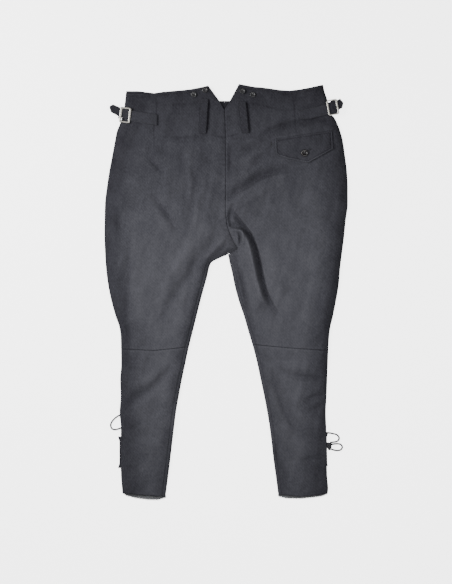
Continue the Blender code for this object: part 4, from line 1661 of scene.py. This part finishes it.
@dataclass
class PocketFlap:
    """The pointed flap over the hip pocket, edge stitched, with a buttonhole near its point."""

    finish: Material
    wall: float = 2.2
    lift: float = 0.6
    curl: Ridge = Ridge(0.8, 0.0, 9.0)  # of the lower edge
    stitched: tuple[Ridge, ...] = (Ridge(-0.8, 5.4, 1.5), Ridge(0.4, 2.6, 1.4))
    pinched: Ridge = Ridge(-0.5, 10.5, 2.4)  # round the button
    puckers: Ridge = Ridge(0.35, 0.0, 24.0)
    # painted highlight on the turned edge and painted shade along the stitching groove
    rim_highlight_and_shade: tuple[Ridge, ...] = (Ridge(0.34, 2.4, 1.5), Ridge(-0.3, 5.4, 1.5))

    @staticmethod
    def _across(u: Values, v: Values) -> Values:
        """X at a share of the way across and down the flap."""
        return mix(FLAP_TOP[0].x, FLAP_TOP[1].x, u) + v * mix(2.5, 3, u)

    def spot(self, u: float, v: float) -> tuple[float, float, float]:
        """A place on the flap's outer face.

        Args:
            u: Share of the way across.
            v: Share of the way down.

        Returns:
            X, drop and height.
        """
        x = self._across(u, v)
        drop = float(mix(along(FLAP_TOP, x), along(FLAP_LOW, x), v))
        return x, drop, DRAPE.height(x, drop) + SEAM_GAP + self.wall + self.lift * float(smooth(v))

    def build(self) -> Object:
        """Builds the flap.

        Returns:
            The flap.
        """
        v = eased(36)[:, None]
        x = self._across(eased(70)[None, :], v)
        top, low = along(FLAP_TOP, x), along(FLAP_LOW, x)
        drop = mix(top, low, v)
        inset = np.minimum(np.minimum(x - x[:, :1], x[:, -1:] - x), np.minimum(drop - top, low - drop))
        z = DRAPE.surface(Leg.RIGHT, x, drop) + SEAM_GAP + self.wall + self.lift * smooth(v)
        z += pressed(low - drop, self.curl) - 1.1 * (1 - np.clip(inset / 1.6, 0, 1)) ** 2
        across, down = x - FLAP_BUTTON.x, drop - FLAP_BUTTON.drop
        around = np.hypot(across, down)
        z += pressed(inset, *self.stitched) + pressed(around, self.pinched)
        z += pressed(around, self.puckers) * np.sin(np.arctan2(down, across) * 5)
        thickness = self.wall * mix(0.65, 1.0, smooth(inset / 1.5))
        mesh = closed_mesh("pocket_flap", x, drop, z, z - thickness)
        # painted highlight on the flap's rim and painted shade along its stitching
        rim = pressed(inset, *self.rim_highlight_and_shade) * smooth((drop - top - 2) / 4)
        paint_wear_and_shade(mesh, DRAPE.wear_and_shade(Leg.RIGHT, x, drop) - 0.10 + rim)
        flap = standing_for("pocket_flap", "cloth", mesh, self.finish)
        return flap


@dataclass
class FourHoleButton:
    """A turned button with a raised rim, a dished middle and four holes sewn across."""

    node: str
    at: Edge
    bottom: float
    radius: float
    thickness: float
    finish: Material
    thread: Material
    turn: float
    steps: int = 48
    hole_place: float = 0.17  # in shares of the radius, as is the next
    hole_radius: float = 0.085
    strand: float = 0.22

    # the outline of half a section: distance from the middle and height, in shares
    PROFILE = (
        (0.0, 0.48), (0.30, 0.48), (0.44, 0.52), (0.54, 0.68), (0.62, 0.88), (0.72, 0.98),
        (0.82, 1.0), (0.92, 0.90), (0.985, 0.70), (1.0, 0.48), (0.96, 0.22), (0.86, 0.06),
        (0.70, 0.0), (0.0, 0.0),
    )
    # a strand of thread: share of its reach, spread of its three strands and height
    STRAND = ((-1, 0.28, 0.3), (-0.8, 0.30, 0.60), (0, 0.34, 0.68), (0.8, 0.30, 0.60), (1, 0.28, 0.3))

    def build(self) -> Object:
        """Builds the button and its sewing.

        Returns:
            The button.
        """
        disc = bmesh.new()
        angles = [2 * math.pi * k / self.steps for k in range(self.steps)]
        rings = []
        for share, high in self.PROFILE:
            reach, level = share * self.radius, high * self.thickness
            if share == 0.0:
                rings.append([disc.verts.new((0, 0, level))] * self.steps)
            else:
                rings.append([disc.verts.new((reach * math.cos(angle), reach * math.sin(angle), level))
                              for angle in angles])
        bridge(disc, rings)
        mesh = self._drilled(settled(self.node, disc, self._home()))
        button = standing_for(self.node, "disc", mesh, self.finish)
        self._sew()
        return button

    def _home(self) -> Matrix:
        """The button's place, scale and turn."""
        spin = Matrix.Rotation(math.radians(self.turn), 4, "Z")
        return Matrix.Translation(place(*self.at, self.bottom)) @ Matrix.Scale(MM, 4) @ spin

    def _drilled(self, mesh: Mesh) -> Mesh:
        """Cuts the four holes.

        Args:
            mesh: The whole button.

        Returns:
            The button with its holes.
        """
        pins = bmesh.new()
        place_at, radius = self.hole_place * self.radius, self.hole_radius * self.radius
        for sx, sy in QUARTERS:
            spot = Matrix.Translation((sx * place_at, sy * place_at, self.thickness / 2))
            bmesh.ops.create_cone(pins, cap_ends=True, segments=12, radius1=radius, radius2=radius,
                                  depth=self.thickness * 3, matrix=spot)
        cutter = linked("holes", settled("holes", pins, self._home()))
        drilled = modified("holes", mesh, "BOOLEAN", {"operation": "DIFFERENCE", "object": cutter})
        bpy.data.objects.remove(cutter, do_unlink=True)
        return drilled

    def _sew(self) -> None:
        """Lays two bars of thread across the holes."""
        bars = bmesh.new()
        reach = self.radius * self.hole_place
        for sy in (1, -1):
            for strand in (-1, 0, 1):
                route = [(share * reach, sy * reach + spread * strand, high * self.thickness)
                         for share, spread, high in self.STRAND]
                add_tube(bars, smooth_route(route, 0.4), self.strand, 8)
        finished(f"{self.node}_thread", settled(f"{self.node}_thread", bars, self._home()), self.thread)


LACES = {
    "lace_left": (
        (-256, 822, 4.7), (-262, 822, 4.6), (-268.5, 824, 4.1), (-277, 830, 2.8), (-285, 838.5, 2.2),
        (-288.4, 848, 2.1), (-285, 856.5, 2.1), (-277, 858.8, 2.4), (-268, 856.5, 3.6),
        (-261, 854, 4.5), (-255, 853.5, 4.7),
    ),
    "lace_right_upper": (
        (244, 866.2, 4.7), (251, 866.2, 4.6), (258, 867, 3.9), (268, 869, 2.5), (277, 872, 2.1),
        (282.3, 879.5, 2.1), (279, 886.8, 2.2), (271, 889.6, 2.7), (260.0, 890.8, 3.8),
    ),
    "lace_right_lower": (
        (260.0, 896.6, 3.9), (271, 894.6, 2.4), (279, 894.2, 2.1), (286.6, 896.2, 2.1),
        (290.2, 902.4, 2.1), (286.8, 908.8, 2.1), (279, 911, 2.1), (271, 910.2, 2.4),
        (260.0, 906.6, 3.9),
    ),
}


@dataclass
class SlitLace:
    """A round braided lace that comes out of a calf slit and lies in a loop on the floor."""

    node: str
    finish: Material
    far_end: str
    with_pieces: tuple[str, ...] = ()
    strands: int = 5
    lay_mm: float = 5.0
    sides: int = 20
    relief: tuple[float, float] = (0.97, 0.06)  # least radius and its swelling, in shares
    every: int = 6  # points of the mesh's route to one of the cord's

    def build(self) -> Object:
        """Builds the lace, with the low relief of its braid.

        Returns:
            The lace.
        """
        route = smooth_route(LACES[self.node], 0.55)
        path = np.stack((route[:, 0], WAIST_LINE_Y - route[:, 1], route[:, 2]), axis=1)
        travelled = np.concatenate(([0], np.cumsum(np.linalg.norm(np.diff(path, axis=0), axis=1))))
        turn = self.strands * 2 * np.pi * np.arange(self.sides) / self.sides
        phase = 2 * np.pi * travelled[:, None] / self.lay_mm
        least, swelling = self.relief
        crossed = np.maximum(np.cos(turn + phase), np.cos(turn - phase))
        build = bmesh.new()
        add_tube(build, path, CORD_DIAMETER / 2 * (least + swelling * crossed), self.sides)
        lace = standing_for(self.node, "braid", settled(self.node, build, Matrix.Scale(MM, 4)),
                            self.finish)
        points = path[:: self.every] * MM
        if (len(path) - 1) % self.every:
            points = np.vstack((points, path[-1:] * MM))
        return lace


@dataclass
class LaceKnot:
    """The tight knot that holds the right lace, a few turns of the same cord."""

    finish: Material
    at: tuple[float, float, float] = (257.4, 898.5, 5.2)
    size: tuple[float, float, float] = (13.0, 24.0, 8.0)
    wrap_shifts: tuple[float, ...] = (-4.4, -1.4, 1.6, 4.6)
    wrap_size: tuple[float, float, float] = (4.4, 0.9, 2.2)

    def build(self) -> Object:
        """Builds the knot from one crossing turn of cord and four wraps round its middle.

        Returns:
            The knot.
        """
        t = np.linspace(0, 2 * np.pi, 150, endpoint=False)
        turn = np.stack((np.sin(t) + 1.6 * np.sin(2 * t), np.cos(t) - 1.6 * np.cos(2 * t),
                         -np.sin(3 * t)), axis=1)
        turn = turn / np.abs(turn).max(axis=0) * (np.array(self.size) - CORD_DIAMETER) / 2
        x, drop, z = self.at
        centre = np.array((x, WAIST_LINE_Y - drop, z))
        build = bmesh.new()
        add_tube(build, np.vstack((turn, turn[:1])) + centre, CORD_DIAMETER / 2, 14)
        angle = np.linspace(0, 2 * np.pi, 40)
        wide, lean, high = self.wrap_size
        for shift in self.wrap_shifts:
            wrap = (wide * np.cos(angle), shift + lean * np.sin(angle), high * np.sin(angle))
            add_tube(build, np.stack(wrap, axis=1) + centre, CORD_DIAMETER / 2 * 0.95, 12)
        mesh = settled("lace_knot", build, Matrix.Scale(MM, 4))
        return standing_for("lace_knot", "turns", mesh, self.finish)


class StitchTree:
    """The node tree that lays stitches, or loose fibres, along routes drawn as edges."""

    INPUTS = {"Pitch": "Float", "Length": "Float", "Thickness": "Float", "Turn": "Float",
              "Jitter": "Float", "Seed": "Int", "Thread": "Material"}

    def __init__(self) -> None:
        """Builds the tree once."""
        self.tree = bpy.data.node_groups.new("stitches_along_routes", "GeometryNodeTree")
        face = self.tree.interface
        face.new_socket("Routes", in_out="INPUT", socket_type="NodeSocketGeometry")
        for name, kind in self.INPUTS.items():
            face.new_socket(name, in_out="INPUT", socket_type=f"NodeSocket{kind}")
        face.new_socket("Stitches", in_out="OUTPUT", socket_type="NodeSocketGeometry")
        tree = self.tree
        given = tree.nodes.new("NodeGroupInput").outputs
        curve = add_node(tree, "GeometryNodeMeshToCurve", Mesh=given["Routes"])
        flat = add_node(tree, "GeometryNodeSetCurveNormal", {"mode": "Z_UP"}, Curve=curve)
        points = add_node(tree, "GeometryNodeCurveToPoints", {"mode": "LENGTH"}, Curve=flat,
                          Length=given["Pitch"])
        bead = add_node(tree, "GeometryNodeMeshUVSphere", Segments=6, Rings=5, Radius=0.5)
        size = add_node(tree, "ShaderNodeCombineXYZ", X=given["Thickness"], Y=given["Thickness"],
                        Z=given["Length"])
        stitch = add_node(tree, "GeometryNodeTransform", Geometry=bead, Scale=size)
        chance = add_node(tree, "FunctionNodeRandomValue", gives=1, n2=-1.0, n3=1.0,
                          Seed=given["Seed"])
        angle = add_node(tree, "ShaderNodeMath", {"operation": "MULTIPLY_ADD"},
                         n0=chance, n1=given["Jitter"], n2=given["Turn"])
        lean = add_node(tree, "ShaderNodeMath", {"operation": "MULTIPLY"}, n0=chance, n1=0.06)
        euler = add_node(tree, "ShaderNodeCombineXYZ", X=lean, Y=angle)
        turned = add_node(tree, "FunctionNodeEulerToRotation", Euler=euler)
        facing = add_node(tree, "FunctionNodeRotateRotation", {"rotation_space": "LOCAL"},
                          Rotation=points.node.outputs["Rotation"], Rotate_By=turned)
        laid = add_node(tree, "GeometryNodeInstanceOnPoints", Points=points, Instance=stitch,
                        Rotation=facing)
        real = add_node(tree, "GeometryNodeRealizeInstances", Geometry=laid)
        sewn = add_node(tree, "GeometryNodeSetMaterial", Geometry=real, Material=given["Thread"])
        end = tree.nodes.new("NodeGroupOutput")
        tree.links.new(sewn, end.inputs[0])
        self.sockets = {item.name: item.identifier for item in face.items_tree if item.in_out == "INPUT"}

    def sew(self, name: str, routes: Sequence[Array], row: Stitching) -> Object:
        """Sews along routes of X, drop and height, in millimetres.

        Args:
            name: Name of the piece.
            routes: The routes.
            row: Sizes and finish of the stitches.

        Returns:
            The stitches as one plain piece.
        """
        points, edges = [], []
        for route in routes:
            first = len(points)
            points += [place(*point) for point in route]
            edges += [(first + i, first + i + 1) for i in range(len(route) - 1)]
        mesh = bpy.data.meshes.new(name)
        mesh.from_pydata(points, edges, [])
        values = (row.pitch * MM, row.length * MM, row.thickness * MM,
                  math.radians(row.turn), math.radians(row.jitter), row.seed, row.thread)
        sockets = {self.sockets[key]: value for key, value in zip(self.INPUTS, values)}
        made = modified(name, mesh, "NODES", {"node_group": self.tree, **sockets})
        made.shade_smooth()
        return finished(name, made, row.thread)


@dataclass(frozen=True)
class Stitching:
    """Sizes and thread of a kind of stitch row, in millimetres and degrees."""

    thread: Material
    pitch: float = 3.6
    length: float = 3.0
    thickness: float = 0.6
    turn: float = 0.0
    jitter: float = 3.0
    seed: int = 3


def on_back(leg: Leg, points: Sequence[tuple[float, float]], lift: float) -> Array:
    """A smooth route over the back's outer face.

    Args:
        leg: Which side it is.
        points: X and drop of the points that it goes through.
        lift: How far above the cloth it runs.

    Returns:
        Points of X, drop and height.
    """
    route = smooth_route([(*point, 0.0) for point in points], 2.0)
    route[:, 2] = DRAPE.surface(leg, route[:, 0], route[:, 1]) + lift
    return route


@dataclass
class Studio:
    """White paper, a soft key light from the upper left, an overhead fill and the camera."""

    picture_height: float = 1.46
    distance: float = 3.6
    sensor: float = 24.0
    key_watts: float = 34.0
    fill_watts: float = 12.0
    world: float = 0.16
    floor_half: float = 4.0
    flat_half: float = 3.2  # past this the paper curls up
    curl: float = 0.15
    squares: int = 24

    def build_camera(self) -> None:
        """Sets the camera straight above the garment."""
        data = bpy.data.cameras.new("overhead")
        data.sensor_fit = "VERTICAL"
        data.sensor_height = self.sensor
        data.lens = self.sensor * self.distance / self.picture_height
        camera = linked("overhead", data)
        camera.location = (-0.0003, 0.0003, self.distance)
        bpy.context.scene.camera = camera

    def build_light(self) -> None:
        """Sets the key light, the fill and the room's own light."""
        self._area("key", (-1.35, 0.55, 1.25), (0.0, -0.05, 0.0), 0.7, self.key_watts)
        self._area("fill", (0.4, -0.1, 1.35), (0.0, -0.1, 0.0), 1.0, self.fill_watts)
        world = bpy.data.worlds.new("white_room")
        world.use_nodes = True
        background = world.node_tree.nodes["Background"].inputs
        background["Color"].default_value = srgb("ffffff")
        background["Strength"].default_value = self.world
        bpy.context.scene.world = world

    @staticmethod
    def _area(name: str, at: Sequence[float], towards: Sequence[float], size: float, watts: float) -> None:
        """Adds one square soft light.

        Args:
            name: Its name.
            at: Its place.
            towards: What it shines at.
            size: Its side, in metres.
            watts: Its power.
        """
        data = bpy.data.lights.new(name, "AREA")
        data.size = size
        data.energy = watts
        light = linked(name, data)
        light.location = at
        light.rotation_euler = (Vector(towards) - Vector(at)).to_track_quat("-Z", "Y").to_euler()

    def build_floor(self, finish: Material) -> None:
        """Lays a sheet of paper with a gentle curl at its far edges.

        Args:
            finish: The paper.
        """
        count = self.squares + 1
        line = np.linspace(-self.floor_half, self.floor_half, count)
        points = []
        for y in line:
            for x in line:
                far = max(abs(x), abs(y)) - self.flat_half
                points.append((x, y, self.curl * max(far, 0.0) ** 2 - 0.0001))
        corners = [j * count + i for j in range(self.squares) for i in range(self.squares)]
        faces = [(a, a + 1, a + 1 + count, a + count) for a in corners]
        mesh = bpy.data.meshes.new("paper")
        mesh.from_pydata(points, [], faces)
        mesh.shade_smooth()
        mesh.materials.append(finish)
        floor = linked("paper", mesh)
        floor.visible_diffuse = floor.visible_glossy = False


@dataclass
class RidingBreeches:
    """The whole garment, from its cords to its stitching."""

    wool: Material
    dark_wool: Material
    front_wool: Material
    overcast: Material
    thread: Material
    cord: Material
    nickel: Material
    horn: Material
    smoky_horn: Material
    stitches: StitchTree = field(default_factory=StitchTree)

    # where each placket starts and ends, and how far out it reaches
    PLACKETS = {Leg.LEFT: (876.0, 955.0, 270.0), Leg.RIGHT: (868.0, 950.0, 254.5)}
    BRACE_RADIUS, FLAP_RADIUS = 7.0, 8.8

    def build_laces(self) -> None:
        """Builds the cords and their knot."""
        LaceKnot(self.cord).build()
        SlitLace("lace_left", self.cord, "object").build()
        SlitLace("lace_right_upper", self.cord, "knot", ("lace_knot_turns",)).build()
        SlitLace("lace_right_lower", self.cord, "object").build()
        LOG.info("laces and knot")

    def build_body(self) -> None:
        """Builds the panels, hem bands and plackets of both legs."""
        for leg in Leg:
            FrontPanel(leg, self.front_wool).build()
            BackPanel(leg, True, self.wool).build()
            BackPanel(leg, False, self.wool).build()
            HemBand(leg, self.overcast).build()
            Placket(leg, self.dark_wool, *self.PLACKETS[leg]).build()
            LOG.info("%s leg", leg.value)
        SeatSeamAllowance(self.dark_wool).build()

    def build_trims(self) -> None:
        """Builds loops, straps, buckles, flap and buttons."""
        for leg in Leg:
            BeltLoop(leg, self.dark_wool).build()
            strap = AdjusterStrap(leg, self.dark_wool)
            strap.build()
            under, tail = strap.levels()
            SlideBuckle(leg, self.nickel, under + SEAM_GAP).build()
            BuckleTab(leg, self.dark_wool, tail - STRAP_WALL - SEAM_GAP).build()
            LOG.info("%s loop, strap and buckle", leg.value)
        PocketFlap(self.wool).build()
        radius = self.BRACE_RADIUS
        for number, at in enumerate(BRACE_BUTTONS, start=1):
            near = [DRAPE.height(at.x + radius * dx, at.drop + radius * dd)
                    for dx, dd in ((0, 0), (1, 0), (-1, 0), (0, 1), (0, -1))]
            FourHoleButton(f"brace_button_{number}", at, max(near) + SEAM_GAP, radius, 3.2,
                           self.smoky_horn, self.thread, 25.0 * number).build()
        radius = self.FLAP_RADIUS
        near = [DRAPE.height(FLAP_BUTTON.x + radius * dx, FLAP_BUTTON.drop) for dx in (-1, 0, 1)]
        FourHoleButton("flap_button", FLAP_BUTTON, max(near) + 3.8, radius, 3.6, self.horn,
                       self.thread, 12.0).build()
        LOG.info("pocket flap and buttons")

    def build_sewing(self) -> None:
        """Sews the rows that show, and overcasts the hems."""
        row = Stitching(self.thread)
        waist = []
        for leg in Leg:
            edge = [point for point in BACK_WAIST if (point.x < -8) == (leg is Leg.LEFT)
                    and abs(point.x) > 12]
            waist.append(on_back(leg, [(point.x, point.drop + 7) for point in edge], 0.15))
        self.stitches.sew("waist_stitching", waist, row)
        for leg in Leg:
            self._sew_loop(leg, row)
            self._sew_strap(leg, row)
            self._overcast_hem(leg)
        self._sew_flap(row)
        LOG.info("stitching")

    @staticmethod
    def _down(strip: BeltLoop | AdjusterStrap, share: float, lift: float, kept: slice) -> Array:
        """Points along a strip's kept sections, at a share of its width, lifted off it."""
        return np.array([(*row.at(share), top + lift) for row, top in zip(*strip.rows())][kept])

    @staticmethod
    def _across(
        strip: BeltLoop | AdjusterStrap, index: int, lift: float, inset: float, count: int
    ) -> Array:
        """Points across one section of a strip, between equal insets, lifted off it."""
        row, top = list(zip(*strip.rows()))[index]
        return np.array([(*row.at(u), top + lift) for u in np.linspace(inset, 1 - inset, count)])

    def _sew_loop(self, leg: Leg, row: Stitching) -> None:
        """Sews two long rows and four short ones on a belt loop.

        Args:
            leg: Whose loop it is.
            row: Sizes and thread of the rows.
        """
        loop = BeltLoop(leg, self.dark_wool)
        routes = [self._down(loop, share, -0.12, slice(2, -2)) for share in (0.14, 0.86)]
        routes += [self._across(loop, index, 0.12, 0.12, 6) for index in (3, 6, -7, -4)]
        self.stitches.sew(f"belt_loop_{leg.value}_stitching", routes, row)

    def _sew_strap(self, leg: Leg, row: Stitching) -> None:
        """Sews rows along both edges of a strap, and two across the end that is sewn down.

        Args:
            leg: Whose strap it is.
            row: Sizes and thread of the rows.
        """
        strap = AdjusterStrap(leg, self.dark_wool)
        routes = [self._down(strap, share, -0.1, slice(1, -9)) for share in (0.09, 0.91)]
        routes += [self._across(strap, index, 0.15, 0.06, 8) for index in (1, 3)]
        self.stitches.sew(f"strap_{leg.value}_stitching", routes, row)

    def _overcast_hem(self, leg: Leg) -> None:
        """Slanted overcast stitches and loose fibres on the raw hem.

        Args:
            leg: Whose hem it is.
        """
        first, last = DRAPE.ends(leg, HEM_DROP)
        x = np.linspace(first + 1.5, last - 1.5, 70)
        edge = along(BAND_HEM, x)
        overcast = Stitching(self.overcast, pitch=2.4, length=5.0, thickness=0.75, turn=62.0,
                             jitter=14.0, seed=5)
        fibres = Stitching(self.overcast, pitch=1.7, length=4.2, thickness=0.4, turn=90.0,
                           jitter=75.0, seed=9)
        # each row's distance past the edge and its height
        for name, places, row in (("overcast", ((-3.4, 1.95), (-1.4, 1.45)), overcast),
                                  ("fibres", ((-0.6, 0.9), (0.6, 0.7)), fibres)):
            routes = [np.stack((x, edge + out, 0 * x + high), axis=1) for out, high in places]
            self.stitches.sew(f"hem_{name}_{leg.value}", routes, row)

    def _sew_flap(self, row: Stitching) -> None:
        """The flap's edge stitching, its bar tack and the buttonhole beyond its button.

        Args:
            row: Sizes and thread of the edge stitching.
        """
        flap = PocketFlap(self.wool)
        edge = [flap.spot(0.045, v) for v in np.linspace(0.02, 0.82, 12)]
        edge += [flap.spot(u, 1 - 6.2 / (18 + 42 * min(u, 0.5))) for u in np.linspace(0.08, 0.92, 24)]
        edge += [flap.spot(0.955, v) for v in np.linspace(0.82, 0.02, 12)]
        self.stitches.sew("flap_stitching", [smooth_route(edge, 1.5) - (0, 0, 0.15)], row)
        tack = [(112.5, drop, DRAPE.height(112.5, drop) + 0.3) for drop in np.linspace(140, 153, 6)]
        level = flap.spot(0.55, 0.6)[2] + 0.25
        hole = [(199 + 12 * t, 166.5 - 7 * t, level) for t in np.linspace(0, 1, 7)]
        dense = Stitching(self.thread, pitch=0.8, length=3.4, thickness=0.7, turn=90.0, jitter=4.0)
        fine = Stitching(self.thread, pitch=0.8, length=2.8, thickness=0.6, turn=90.0)
        self.stitches.sew("flap_bar_tack", [np.array(tack)], dense)
        self.stitches.sew("flap_buttonhole", [np.array(hole)], fine)


def main() -> None:
    """Builds the studio and the garment."""
    logging.basicConfig(level=logging.INFO, format="%(message)s")
    studio = Studio()
    studio.build_camera()
    breeches = RidingBreeches(
        wool=MilledWool("milled_wool").build(),
        dark_wool=MilledWool("milled_wool_trim", rub=0.10).build(),
        front_wool=MilledWool("milled_wool_front", rub=0.30).build(),
        overcast=TwistedThread("overcast_thread", "55565a", "8c8d90", 1.6, 0.85).build(),
        thread=TwistedThread("sewing_thread", "1c1c1f", "38383c", 1.2).build(),
        cord=TwistedThread("braided_cord", "17171a", "3a3a3f", 2.4, 0.75).build(),
        nickel=PolishedNickel().build(),
        horn=PolishedHorn().build(),
        smoky_horn=PolishedHorn("smoky_horn", "2c2c2f", "3f3d3e", 0.32).build(),
    )
    breeches.build_laces()
    breeches.build_body()
    breeches.build_trims()
    breeches.build_sewing()
    studio.build_floor(StudioPaper().build())
    studio.build_light()


if __name__ == "__main__":
    main()
